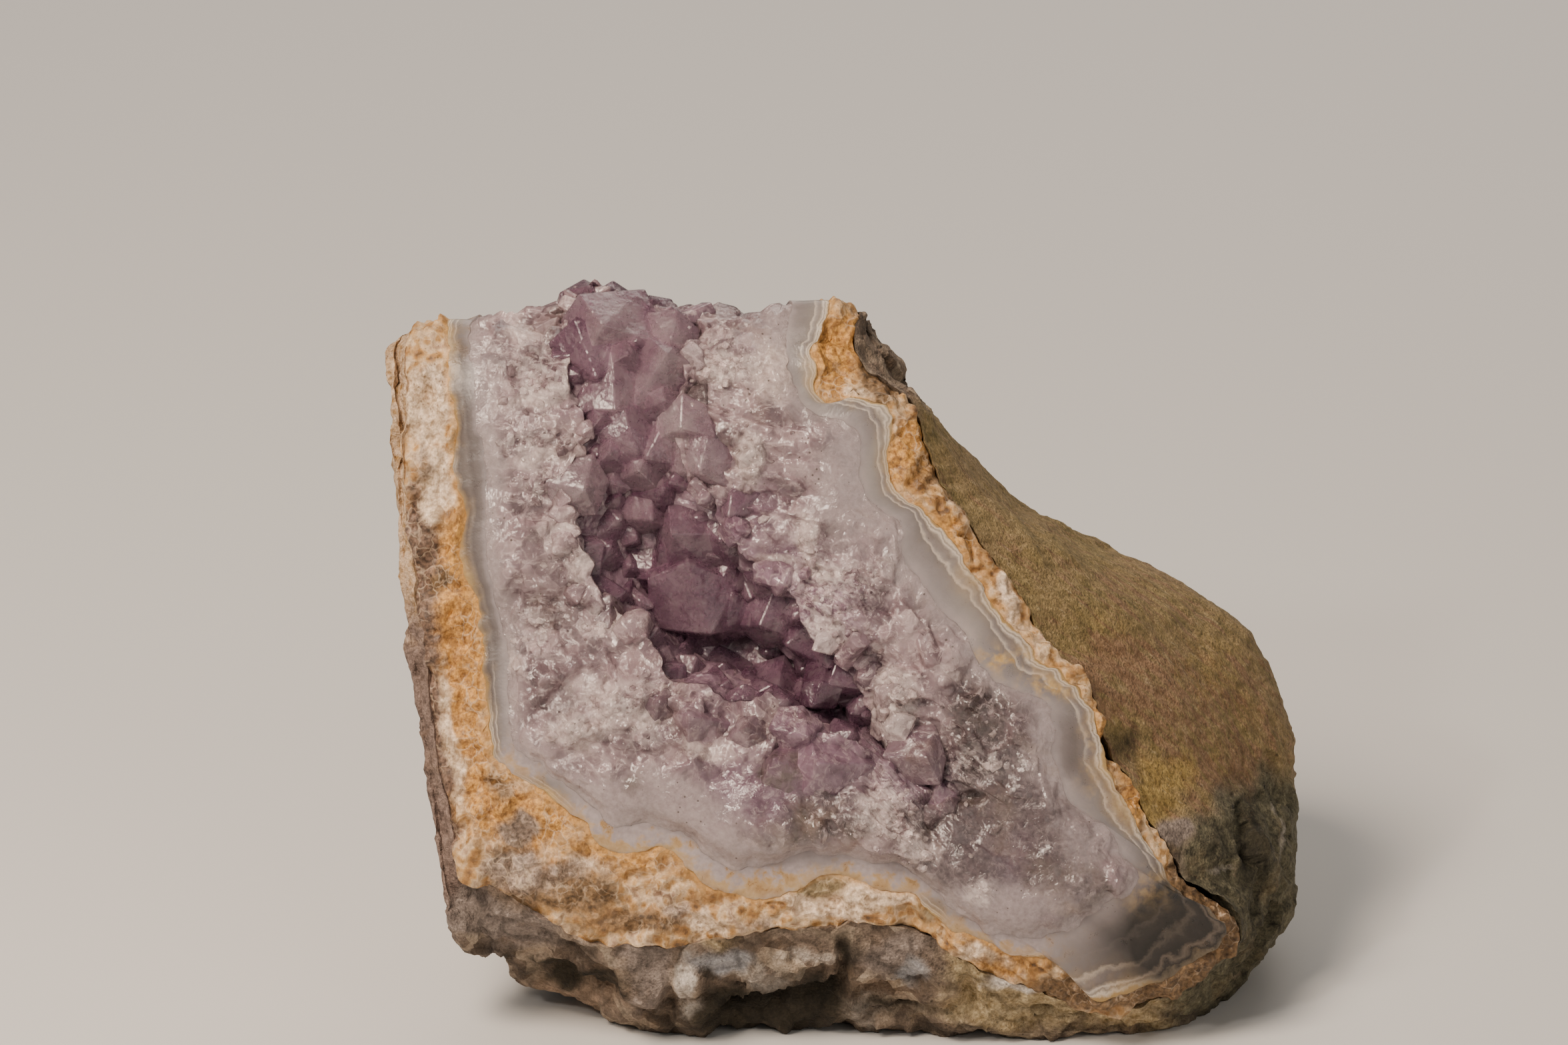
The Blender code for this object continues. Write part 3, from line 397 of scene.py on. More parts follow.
def bowl(ring, depth, side):
    # The hidden contact behind an outline: at each angle the ring shrinks by its cosine towards the centre, sinks
    # by (1 - cosine) ^ power, and loses its shorter waves. side moves it half the gap out of (+1) or into (-1) the
    # hollow.
    centre = np.array(bowls["centre"])
    waves = np.arange(len(ring) // 2 + 1)
    rings = [ring]
    for step, angle in enumerate(np.radians(bowls["anglesDeg"])):
        keep = np.exp(-((waves / (bowls["waves"] / (step + 1))) ** 2))[:, None]
        rounder = np.fft.irfft(np.fft.rfft(ring, axis=0) * keep, n=len(ring), axis=0)
        rounder[:, :2] = centre + (rounder[:, :2] - centre) * math.cos(angle)
        rounder[:, 2] += (depth - rounder[:, 2]) * (1 - math.cos(angle)) ** bowls["power"]
        rings.append(rounder)
    rings = np.array(rings)
    rings[..., :2] += unit(rings[..., :2] - centre) * side * bowls["gap"] / 2
    rings[1:, :, 2] += side * bowls["gap"] / 2
    return rings, np.array([*centre, depth + side * bowls["gap"] / 2])


def addObject(name, data):
    # A new object at the origin, in the scene.
    made = bpy.data.objects.new(name, data)
    bpy.context.scene.collection.objects.link(made)
    return made


def faceOutwards(mesh, openRings=()):
    # Closes open rings with triangles, and turns all faces outwards.
    work = bmesh.new()
    work.from_mesh(mesh)
    work.verts.ensure_lookup_table()
    for row in openRings:
        ring = [work.edges.get((work.verts[a], work.verts[b])) for a, b in zip(row, np.roll(row, -1))]
        bmesh.ops.triangle_fill(work, edges=ring, use_beauty=True)
    bmesh.ops.recalc_face_normals(work, faces=work.faces)
    work.to_mesh(mesh)
    work.free()


def skin(name, grid, firstPole=None, lastPole=None, extras=None, crispDeg=0):
    # A closed skin over a grid of rows: quads between the rows, a fan to a pole, or triangles across an open end.
    # Edges that turn by more than crispDeg stay sharp.
    rows, count = grid.shape[:2]
    spots = [grid.reshape(-1, 3)]
    index = np.arange(rows * count).reshape(rows, count)
    near, far = index[:-1], index[1:]
    quads = np.stack([near, np.roll(near, -1, 1), np.roll(far, -1, 1), far], axis=-1).reshape(-1, 4)
    fans = []
    total = rows * count
    for pole, row, flip in ((firstPole, index[0], True), (lastPole, index[-1], False)):
        if pole is not None:
            spots.append(np.array(pole, float)[None])
            tip = np.full(count, total)
            total += 1
            fan = np.stack([row, np.roll(row, -1), tip], axis=-1)
            fans.append(fan[:, ::-1] if flip else fan)
    corners = np.concatenate([quads.ravel()] + [fan.ravel() for fan in fans])
    sizes = np.concatenate([np.full(len(quads), 4)] + [np.full(len(fan), 3) for fan in fans])
    mesh = bpy.data.meshes.new(name)
    mesh.vertices.add(total)
    mesh.loops.add(len(corners))
    mesh.polygons.add(len(sizes))
    mesh.vertices.foreach_set("co", toWorld(np.vstack(spots)).ravel())
    mesh.loops.foreach_set("vertex_index", corners)
    mesh.polygons.foreach_set("loop_start", np.concatenate([[0], np.cumsum(sizes)[:-1]]))
    mesh.update(calc_edges=True)
    for key, values in (extras or {}).items():
        layer = mesh.attributes.new(key, "FLOAT", "POINT")
        values = values.ravel()
        layer.data.foreach_set("value", np.concatenate([values, np.zeros(total - len(values))]))
    faceOutwards(mesh, [row for pole, row in ((firstPole, index[0]), (lastPole, index[-1])) if pole is None])
    mesh.polygons.foreach_set("use_smooth", np.full(len(mesh.polygons), crispDeg > 0))
    if crispDeg:
        mesh.set_sharp_from_angle(angle=math.radians(crispDeg))
    return addObject(name, mesh)


# Material helpers

def treeOf(*values):
    # The node tree that the first socket among the values belongs to.
    return next(value for value in values if isinstance(value, bpy.types.NodeSocket)).id_data


def fill(socket, value):
    # Links a socket from another one, or gives it a plain value.
    if isinstance(value, bpy.types.NodeSocket):
        socket.id_data.links.new(value, socket)
    else:
        socket.default_value = (*value, 1) if socket.type == "RGBA" and len(value) == 3 else value


def add(tree, kind, inputs=None, **settings):
    # One node. Inputs are sockets to link from, or plain values.
    made = tree.nodes.new(kind)
    for key, value in settings.items():
        setattr(made, key, value)
    for key, value in (inputs or {}).items():
        fill(made.inputs[key], value)
    return made


def ramp(source, stops):
    # A colour ramp from (place, (r, g, b)) stops.
    made = add(source.id_data, "ShaderNodeValToRGB", {"Fac": source})
    elements = made.color_ramp.elements
    elements[0].position, elements[1].position = stops[0][0], stops[-1][0]
    for place, _ in stops[1:-1]:
        elements.new(place)
    for element, (_, colour) in zip(elements, stops):
        element.color = (*colour, 1)
    return made.outputs["Color"]


def blend(amount, first, second, mode="MIX"):
    # Colour: first x (1 - amount) + second x amount, or another way of mixing.
    return add(treeOf(amount, first, second), "ShaderNodeMix", {0: amount, 6: first, 7: second},
               data_type="RGBA", blend_type=mode).outputs[2]


def shaded(tone, source, stops):
    # A colour multiplied by a ramp.
    return blend(1.0, tone, ramp(source, stops), "MULTIPLY")


def span(source, low, high, toLow=0.0, toHigh=1.0):
    # Stretches the part of source between low and high to a new span, and clamps it.
    return add(source.id_data, "ShaderNodeMapRange", {"Value": source, "From Min": low, "From Max": high,
                                                      "To Min": toLow, "To Max": toHigh}).outputs["Result"]


def maths(operation, first, second):
    # One math node. The common ones have names of their own below.
    return add(treeOf(first, second), "ShaderNodeMath", {0: first, 1: second}, operation=operation).outputs[0]


def times(first, second):
    return maths("MULTIPLY", first, second)


def plus(first, second):
    return maths("ADD", first, second)


def weighted(*parts):
    # The sum of each value times its weight.
    total = times(*parts[0])
    for part in parts[1:]:
        total = plus(total, times(*part))
    return total


def without(amount):
    # What an amount leaves of 1.
    return maths("SUBTRACT", 1.0, amount)


def larger(first, second):
    return maths("MAXIMUM", first, second)


def noise(vector, sizeMm, detail=4.0, rough=0.55, bend=0.0):
    # Clouds between 0 and 1, the largest about sizeMm wide.
    return add(vector.id_data, "ShaderNodeTexNoise", {"Vector": vector, "Scale": 1000.0 / sizeMm, "Detail": detail,
                                                      "Roughness": rough, "Distortion": bend}).outputs["Fac"]


def stretched(vector, scale, turnDeg=(0, 0, 0)):
    # The same vector turned, with patterns drawn out by scale along its axes.
    return add(vector.id_data, "ShaderNodeMapping", {"Vector": vector, "Scale": scale,
                                                     "Rotation": [math.radians(turn) for turn in turnDeg]},
               vector_type="TEXTURE").outputs["Vector"]


def voronoi(vector, scale, feature="F1", **settings):
    # Random cells, about scale of them to the metre.
    return add(vector.id_data, "ShaderNodeTexVoronoi", {"Vector": vector, "Scale": scale}, feature=feature,
               **settings).outputs


def mask(tree, name):
    # A zone's strength, which the mesh carries as an attribute.
    return add(tree, "ShaderNodeAttribute", attribute_name=name).outputs["Fac"]


def patches(over, cloud, grains, spread, looks, zones):
    # Lays zones over a colour. Each grows where its mask + the cloud climbs from low to high, at most as strong as
    # much, and runs from dark to light over the grains' spread. looks: zone: (low, high, much, dark, light).
    for zone in zones:
        low, high, much, dark, light = looks[zone]
        amount = span(plus(mask(over.id_data, zone), cloud), low, high, 0.0, much)
        over = blend(amount, over, ramp(grains, ((spread[0], dark), (spread[1], light))))
    return over


def groupOf(name, floats, masks):
    # A node group that reads Vector and named floats with their start values, and puts out named floats.
    tree = bpy.data.node_groups.new(name, "ShaderNodeTree")
    tree.interface.new_socket(name="Vector", in_out="INPUT", socket_type="NodeSocketVector")
    for title, start in floats.items():
        made = tree.interface.new_socket(name=title, in_out="INPUT", socket_type="NodeSocketFloat")
        made.default_value = start
    for title in masks:
        tree.interface.new_socket(name=title, in_out="OUTPUT", socket_type="NodeSocketFloat")
    return tree, tree.nodes.new("NodeGroupInput").outputs, tree.nodes.new("NodeGroupOutput").inputs


def useGroup(group, vector, scale=None, amount=None):
    # Puts a group into the material that vector belongs to, and hands back what it puts out.
    made = add(vector.id_data, "ShaderNodeGroup", node_tree=group)
    for key, value in (("Vector", vector), ("Scale", scale), ("Amount", amount)):
        if value is not None:
            fill(made.inputs[key], value)
    return made.outputs


def makeSpecks():
    # Dark mineral specks: the hearts of random cells, thinned out by a wide noise.
    tree, start, end = groupOf("mineralSpecks", {"Scale": 900.0, "Amount": 0.5}, ("Mask",))
    reach = span(plus(noise(start["Vector"], 5.0, 3), start["Amount"]), 0.85, 1.3, 0.0, 0.3)
    fill(end["Mask"], maths("LESS_THAN", voronoi(start["Vector"], start["Scale"])["Distance"], reach))
    return tree


def makeGrain():
    # Fine broken grain in two sizes, as a height for bumps: cells x 0.5 + noise 1.7 times as fine.
    tree, start, end = groupOf("mineralGrain", {"Scale": 2000.0}, ("Height",))
    coarse = voronoi(start["Vector"], start["Scale"], distance="CHEBYCHEV")["Distance"]
    fine = add(tree, "ShaderNodeTexNoise", {"Vector": start["Vector"], "Detail": 3.0,
                                            "Scale": times(start["Scale"], 1.7)}).outputs["Fac"]
    fill(end["Height"], plus(times(coarse, 0.5), fine))
    return tree


def makeIron():
    # Rust that has soaked in: a soft cloud with a torn edge.
    tree, start, end = groupOf("ironStain", {"Amount": 0.5}, ("Mask",))
    fill(end["Mask"], span(plus(noise(start["Vector"], 7.0, 6, 0.62, 0.4), start["Amount"]), 0.9, 1.15))
    return tree


def makeGrown():
    # Quartz grown side by side: angular cells with bent walls. Seam is 1 along a wall, Tone is random per cell, and
    # Height leans each cell its own way: (place - cell centre) dot (cell colour - 0.5), in millimetres.
    tree, start, end = groupOf("quartzCells", {"Scale": 500.0}, ("Seam", "Tone", "Height"))
    swirl = add(tree, "ShaderNodeTexNoise", {"Vector": start["Vector"], "Scale": 900.0, "Detail": 1.0})
    bent = blend(0.0006, start["Vector"], swirl.outputs["Color"], "LINEAR_LIGHT")
    cell = voronoi(bent, start["Scale"])
    wall = voronoi(bent, start["Scale"], "DISTANCE_TO_EDGE")["Distance"]
    fill(end["Seam"], span(wall, 0.0, 0.09, 1.0, 0.0))
    fill(end["Tone"], add(tree, "ShaderNodeSeparateColor", {"Color": cell["Color"]}).outputs["Red"])
    local, lean = [add(tree, "ShaderNodeVectorMath", {0: first, 1: second}, operation="SUBTRACT").outputs["Vector"]
                   for first, second in ((bent, cell["Position"]), (cell["Color"], (0.5, 0.5, 0.5)))]
    slope = add(tree, "ShaderNodeVectorMath", {0: local, 1: lean}, operation="DOT_PRODUCT").outputs["Value"]
    fill(end["Height"], times(slope, 1000.0))
    return tree


specks, grain, iron, grown = makeSpecks(), makeGrain(), makeIron(), makeGrown()


def newMaterial(name, plain):
    # A material with its Principled BSDF set to plain values, and a vector in the stone's own coordinates.
    made = bpy.data.materials.new(name)
    made.use_nodes = True
    tree = made.node_tree
    shader = tree.nodes["Principled BSDF"]
    shader.subsurface_method = "BURLEY"
    for key, value in plain.items():
        shader.inputs[key].default_value = value
    return made, tree, shader, add(tree, "ShaderNodeTexCoord").outputs["Object"]


def finish(shader, tone, roughness, height, strength, distanceMm):
    # Colour and roughness, and a height whose slope tilts the surface without moving it.
    tilted = add(height.id_data, "ShaderNodeBump", {"Height": height, "Strength": strength,
                                                    "Distance": distanceMm * 0.001})
    for key, value in (("Base Color", tone), ("Roughness", roughness), ("Normal", tilted.outputs["Normal"])):
        fill(shader.inputs[key], value)


# Outlines shared by neighbouring minerals
edges = {
    "rock": wander(wander(outline("rockEdge"), 0.45, 4.0, 11), 0.16, 1.0, 15),
    "rind": wander(wander(outline("rindEdge"), 0.35, 2.6, 12), 0.22, 1.0, 16),
    "agate": wander(wander(outline("agateEdge"), 0.45, 3.0, 13), 0.25, 1.2, 17),
    "rim": wander(wander(outline("rim"), 0.7, 4.5, 14), 0.35, 1.4, 18),
}
floorLine = outline("floor")
print("amethyst: outlines drawn")

# Host rock: the weathered outside, with a broken lower front
hostRock = {
    "pole": (9, -7, 56),
    "backRings": ((0.02, 0.999), (0.28, 0.92), (0.5, 0.76), (0.76, 0.42)),  # shares of the way out, and of the depth
    "rows": (8, 8, 8, 8, 10, 22, 16),
    "middle": (0, -4, 24), "poleCalm": 7.0,
    "lumps": 0.9, "facets": 1.6, "stones": 0.75, "grit": 0.26, "fibres": 0.14,
    "fibreWay": (0.80, -0.52, 0.30),
    # pebbles and dents: (x, y, half width, half height, rise). Ledges: (x, y, x, y, drop, reach).
    "pebbles": ((-15.6, -31.2, 1.5, 1.5, 1.1), (-14.4, -33.8, 1.9, 1.1, 0.9), (-20, -30.2, 3.0, 3.2, 0.8),
                (3.8, -28.6, 4.4, 2.2, 0.6), (-4, -28.6, 3.0, 2.0, 0.6), (8.3, -31.5, 2.4, 2.6, 0.7),
                (7.3, 18.6, 1.5, 1.2, 0.8), (33, -17, 1.6, 1.6, 0.5), (-31.4, -21.4, 1.6, 1.6, 0.5),
                (-36.6, -25.6, 2.2, 2, 0.8)),
    "dents": ((-0.2, -28.6, 0.7, 3.0, 1.3), (-17.6, -33, 0.7, 2.2, 1.0), (12, -33, 0.9, 2.2, 1.0),
              (17.5, 10.6, 1.2, 0.7, 0.4), (27.6, -8.6, 1.4, 1.6, 0.7), (39.6, -16, 0.8, 5, 1.3),
              (42, -22.6, 1.6, 1.0, 0.8)),
    "ledges": ((-30.5, -29.2, -21.6, -32.2, 1.9, 2.0), (-14.4, -34.2, 0.2, -31.0, 2.8, 4.0),
               (-38, -22.4, -25, -28.2, 0.5, 1.6), (0.4, -32.2, 8.6, -30.0, 1.2, 1.6),
               (0.6, -34.8, 10, -33.6, 1.1, 1.4), (-24, -29.6, -17, -28.8, 0.5, 1.4),
               (-13, -32.0, -1, -29.8, 0.7, 1.6), (9, -33.6, 20, -31.2, 0.7, 1.6), (16, -35.4, 30, -34.4, 0.8, 1.4),
               (34, -31.6, 42, -25.4, 0.9, 2.2), (39.0, -13.2, 46, -12.0, 1.3, 5.0)),
    "zones": {  # soft round patches: (x, y, half width, half height, strength)
        "hump": ((24, 4, 14, 12, 1.2), (36, -6, 12, 12, 1.2), (12, 20, 7, 8, 1.1), (32, -10, 7, 5, 0.8)),
        "rose": ((30, -3, 11, 4.5, 1), (37, -11, 6, 3.4, 1.1), (27, 1, 6, 3, 0.7), (28, 8, 4, 2, 0.4)),
        "gold": ((30, -14, 3, 4, 1.3), (33, -10, 3, 1.6, 0.6), (36, 0, 4, 5, 0.5), (25, 4, 5, 3, 0.4),
                 (33, -20, 2, 3, 0.8)),
        "block": ((43, -19, 4.4, 7, 1.6), (37, -18, 4, 4, 0.8), (36, -31, 7, 4, 1), (41, -26, 6, 5, 1.2)),
        "shade": ((-8, -35.2, 9, 2.6, 1.5), (-5, -33, 4.4, 1.8, 1.3), (-28.8, -29.9, 1.5, 0.5, 1.5),
                  (-26.2, -30.8, 1.6, 0.5, 1.5), (-23.6, -31.8, 1.6, 0.5, 1.4), (-26, -30.6, 3.4, 0.8, 0.9),
                  (-0.2, -28.4, 0.8, 2.6, 1), (14, -37, 9, 1.6, 0.6), (27.5, -8.6, 1.4, 1.4, 0.9),
                  (39.8, -17, 0.9, 4.4, 1), (-34, -28, 3, 1, 0.8), (5, -34, 3, 0.6, 0.9)),
        "pale": ((-15.5, -31, 1, 1.2, 1.5), (-14.6, -33.8, 1.5, 0.9, 1.2), (-3, -28.4, 3.4, 1.4, 0.4),
                 (2, -34.6, 3, 1.6, 0.6), (18, -31, 5, 0.7, 0.9), (43, -17, 0.5, 3.4, 0.45),
                 (37, -20.6, 1.2, 1, 0.4), (-24, -27.6, 2, 1, 0.6), (-8, -30.8, 3, 1, 0.7)),
        "yellow": ((18, -33.5, 8, 2.6, 1.2), (28, -34, 4, 2.4, 1), (12, -29.5, 2.6, 2, 0.9),
                   (-24.5, -25, 3, 1.6, 0.7), (-13, -27, 3, 1, 0.5)),
        "blue": ((-12, -29, 3.2, 1.4, 1.1), (6.5, -30, 1.4, 1, 0.9), (-17.5, -25.6, 1.6, 1.2, 0.9),
                 (-33, -17, 1.6, 0.9, 0.8)),
        "greyStone": ((-32, -25.4, 6, 2.2, 1.2), (-20, -30, 3, 3.2, 1.2), (3.8, -28.6, 3.6, 2.2, 1),
                      (-22.6, -27, 2, 1.4, 0.9), (-37, -24, 2.6, 2.6, 1), (33, -17, 1.5, 1.5, 1.2)),
        "tanFacet": ((-27, -32.6, 5, 1.8, 1.3),),
        "pink": ((-42, -8, 3.5, 12, 1.2), (-43.5, 10, 2.4, 6, 1), (-41, -20, 3, 6, 1)),
        "ochreSkin": ((-44, 25, 4, 15, 1.6),),
    },
    "looks": {  # zone: cloud's low and high, most, dark and light
        "block": (0.6, 1.05, 0.95, (0.028, 0.026, 0.016), (0.20, 0.18, 0.11)),
        "pink": (0.5, 0.85, 0.95, (0.09, 0.06, 0.05), (0.30, 0.215, 0.18)),
        "ochreSkin": (0.5, 0.85, 0.95, (0.30, 0.165, 0.05), (0.74, 0.56, 0.40)),
        "greyStone": (0.6, 1.05, 0.95, (0.14, 0.11, 0.095), (0.33, 0.27, 0.235)),
        "yellow": (0.6, 1.05, 0.95, (0.22, 0.15, 0.06), (0.60, 0.48, 0.29)),
        "blue": (0.6, 1.05, 0.95, (0.24, 0.24, 0.26), (0.44, 0.43, 0.43)),
        "tanFacet": (0.6, 1.05, 0.95, (0.22, 0.15, 0.10), (0.38, 0.27, 0.19)),
        "pale": (0.6, 1.05, 0.95, (0.46, 0.39, 0.33), (0.80, 0.73, 0.65)),
    },
}


def makeHostRock():
    # Rings from the back pole out to the flank and forward to the rind, then the hidden socket. Each place is pushed
    # along its normal by lumps + facets + small stones + grit + fibres, weaker where the skin is worn smooth.
    pole = np.array(hostRock["pole"], float)
    backRing = outline("back")
    rings = []
    for outwards, sink in hostRock["backRings"]:
        ring = backRing.copy()
        ring[:, :2] = pole[:2] + (backRing[:, :2] - pole[:2]) * outwards
        ring[:, 2] = backRing[:, 2] + (pole[2] - backRing[:, 2]) * sink
        rings.append(ring)
    rings += [backRing, outline("flank"), outline("shoulder"), edges["rock"]]
    grid = rowsThrough(rings, hostRock["rows"])
    normal = facing(grid, hostRock["middle"])
    zones = zonesOf(grid, hostRock["zones"])
    hump = zones["hump"] * (1 - zones["block"])
    back = np.clip((grid[..., 2] - 14) / 14, 0, 1)
    smooth = np.maximum(np.maximum(hump, 0.55 * back), 0.7 * np.maximum(zones["pink"], zones["ochreSkin"]))
    facets, groove = brokenField(grid, 8.5, 22)
    small, smallGroove = brokenField(grid, 2.8, 41)
    along = unit(np.array(hostRock["fibreWay"]))
    run = (grid @ along)[..., None] * along
    fibres = layeredNoise(grid - run + run * 0.12, 1.5, 61, 3, 0.6)
    push = layeredNoise(grid, 15.0, 21, 3, 0.5) * hostRock["lumps"] * (0.5 + 0.5 * (1 - hump))
    push += facets * hostRock["facets"] * (1 - 0.85 * smooth)
    push += small * hostRock["stones"] * (1 - 0.85 * smooth) * (1 - 0.6 * zones["tanFacet"])
    push += layeredNoise(grid, 1.4, 71, 3, 0.65) * hostRock["grit"] * (1 - 0.55 * smooth)
    push += fibres * hostRock["fibres"] * smooth
    bumps = mounds(grid, hostRock["pebbles"], 1.25, 0.6) - mounds(grid, hostRock["dents"], 1.25, 0.6)
    push += bumps * np.clip((16 - grid[..., 2]) / 6, 0, 1)
    push -= scarps(grid, hostRock["ledges"]) * np.clip((22 - grid[..., 2]) / 8, 0, 1)
    push *= np.clip((1 - np.linspace(0, 1, len(grid))[:, None]) * 9, 0.25, 1)
    push *= np.clip(np.linalg.norm(grid - pole, axis=2) / hostRock["poleCalm"], 0, 1)  # no star at the back pole
    grid = grid + normal * push[..., None]
    lean = math.radians(face["leanDeg"])
    lowest = (grid[..., 2] * math.sin(lean) - face["height"]) / math.cos(lean)  # the floor, in the face's own y
    foot = np.clip(lowest + 0.5 - grid[..., 1], 0, 1)
    grid[..., 1] = np.maximum(grid[..., 1], lowest + 0.12 * np.abs(softNoise(grid, 2.0, 33)))
    socket, bottom = bowl(grid[-1], bowls["depths"]["rockEdge"], 1)
    groove = 1 - (1 - np.minimum(groove, smallGroove)) * (1 - smooth)
    extras = {**zones, "hump": hump, "shade": np.maximum(zones["shade"], 0.8 * foot), "groove": groove, "back": back}
    pad = np.zeros((len(socket) - 1, grid.shape[1]))
    extras = {key: np.vstack([values, pad]) for key, values in extras.items()}
    return skin("host_rock_weathered", np.vstack([grid, socket[1:]]), pole, bottom, extras, crispDeg=40)


def dressHostRock(piece):
    # The worn skin's grains and streaks over the broken rock's bits, then the zones, rust, specks and shade.
    made, tree, shader, place = newMaterial("weatheredRock", {"Roughness": 0.86, "Specular IOR Level": 0.3})
    wide = noise(place, 9.0, 5, 0.6)
    mid = noise(place, 2.2, 4, 0.65, 0.3)
    small = noise(place, 0.9, 4, 0.7)
    fine = noise(place, 0.3, 3, 0.65)
    runDown = stretched(place, (6.0, 1.0, 1.0), (0, 36, 5))
    streak = noise(runDown, 1.0, 4, 0.65, 0.2)
    scratch = noise(runDown, 0.35, 3, 0.5)

    # The worn hump: ochre and olive grains, with rose streaks that run down to the right.
    humpTone = ramp(weighted((small, 0.6), (mid, 0.4)), (
        (0.32, (0.10, 0.075, 0.028)), (0.44, (0.20, 0.15, 0.058)), (0.52, (0.28, 0.205, 0.085)),
        (0.6, (0.34, 0.25, 0.11)), (0.72, (0.44, 0.34, 0.17))))
    tan = ramp(small, ((0.35, (0.18, 0.125, 0.058)), (0.6, (0.34, 0.24, 0.125))))
    humpTone = blend(span(wide, 0.4, 0.62, 0.0, 0.8), humpTone, tan)
    redness = plus(times(mask(tree, "rose"), 0.16), streak)
    humpTone = blend(span(redness, 0.54, 0.66, 0.0, 0.75), humpTone,
                     ramp(small, ((0.35, (0.17, 0.085, 0.048)), (0.62, (0.32, 0.19, 0.115)))))
    golden = plus(times(mask(tree, "gold"), 0.6), mid)
    humpTone = blend(span(golden, 0.7, 1.1, 0.0, 0.8), humpTone,
                     ramp(small, ((0.35, (0.20, 0.13, 0.03)), (0.6, (0.46, 0.32, 0.10)))))
    humpTone = blend(span(scratch, 0.62, 0.74, 0.0, 0.45), humpTone, (0.50, 0.41, 0.26))

    # The broken rest: a jumble of brown, beige and grey bits.
    bit = add(tree, "ShaderNodeSeparateColor", {"Color": voronoi(place, 420.0)["Color"]}).outputs["Red"]
    shard = times(voronoi(place, 900.0, "SMOOTH_F1")["Distance"], 0.8)
    lower = ramp(weighted((wide, 0.3), (mid, 0.45), (bit, 0.25)), (
        (0.3, (0.06, 0.045, 0.032)), (0.4, (0.14, 0.10, 0.072)), (0.5, (0.23, 0.172, 0.13)),
        (0.6, (0.36, 0.28, 0.205)), (0.74, (0.52, 0.43, 0.33))))
    olive = ramp(small, ((0.3, (0.15, 0.12, 0.055)), (0.5, (0.28, 0.215, 0.11)), (0.7, (0.38, 0.28, 0.17))))
    tone = blend(mask(tree, "back"), lower, olive)
    tone = blend(span(plus(mask(tree, "hump"), times(mid, 0.5)), 0.5, 0.9), tone, humpTone)
    tone = patches(tone, times(mid, 0.8), small, (0.32, 0.66), hostRock["looks"], hostRock["looks"])
    rust = useGroup(iron, place, amount=0.36)["Mask"]
    tone = blend(times(rust, 0.3), tone, (0.36, 0.20, 0.075))
    dark = useGroup(specks, place, 1500.0, 0.5)["Mask"]
    tone = blend(times(dark, 0.5), tone, (0.04, 0.035, 0.025))
    tone = blend(times(mask(tree, "shade"), 0.93), tone, (0.022, 0.018, 0.010))
    # Painted shade: the colour is halved along the grooves between the broken facets, where shade falls.
    tone = shaded(tone, mask(tree, "groove"), ((0.0, (0.5, 0.5, 0.5)), (0.5, (1, 1, 1))))
    tone = shaded(tone, fine, ((0.3, (0.62, 0.62, 0.62)), (0.68, (1.22, 1.22, 1.22))))
    chips = times(plus(bit, shard), without(mask(tree, "hump")))
    height = plus(useGroup(grain, place, 2600.0)["Height"], times(small, 1.2))
    finish(shader, tone, span(mid, 0.3, 0.7, 0.68, 0.95), plus(height, times(chips, 0.8)), 0.7, 0.3)
    piece.data.materials.append(made)


rockPiece = makeHostRock()
dressHostRock(rockPiece)
print("amethyst: host rock made")


# Stained rind and agate: bands between two contacts, open to the viewer
def makeBand(name, outer, inner, rows, height, extrasOf):
    # Straight rows from the outer contact to the inner one, pushed out along their normals by height(grid, share),
    # with both hidden bowls behind them.
    share = np.linspace(0, 1, rows)[:, None, None]
    grid = edges[outer] + (edges[inner] - edges[outer]) * share
    across = np.broadcast_to(share[..., 0], grid.shape[:2])
    grid = grid + facing(grid) * height(grid, across)[..., None]
    outside, outsidePole = bowl(grid[0], bowls["depths"][outer + "Edge"], -1)
    inside, insidePole = bowl(grid[-1], bowls["depths"][inner + "Edge"], 1)
    pad = np.zeros((len(inside) - 1, grid.shape[1]))
    extras = {key: np.vstack([pad, values, pad]) for key, values in extrasOf(grid, across).items()}
    whole = np.vstack([outside[:0:-1], grid, inside[1:]])
    return skin(name, whole, outsidePole, insidePole, extras, crispDeg=52)


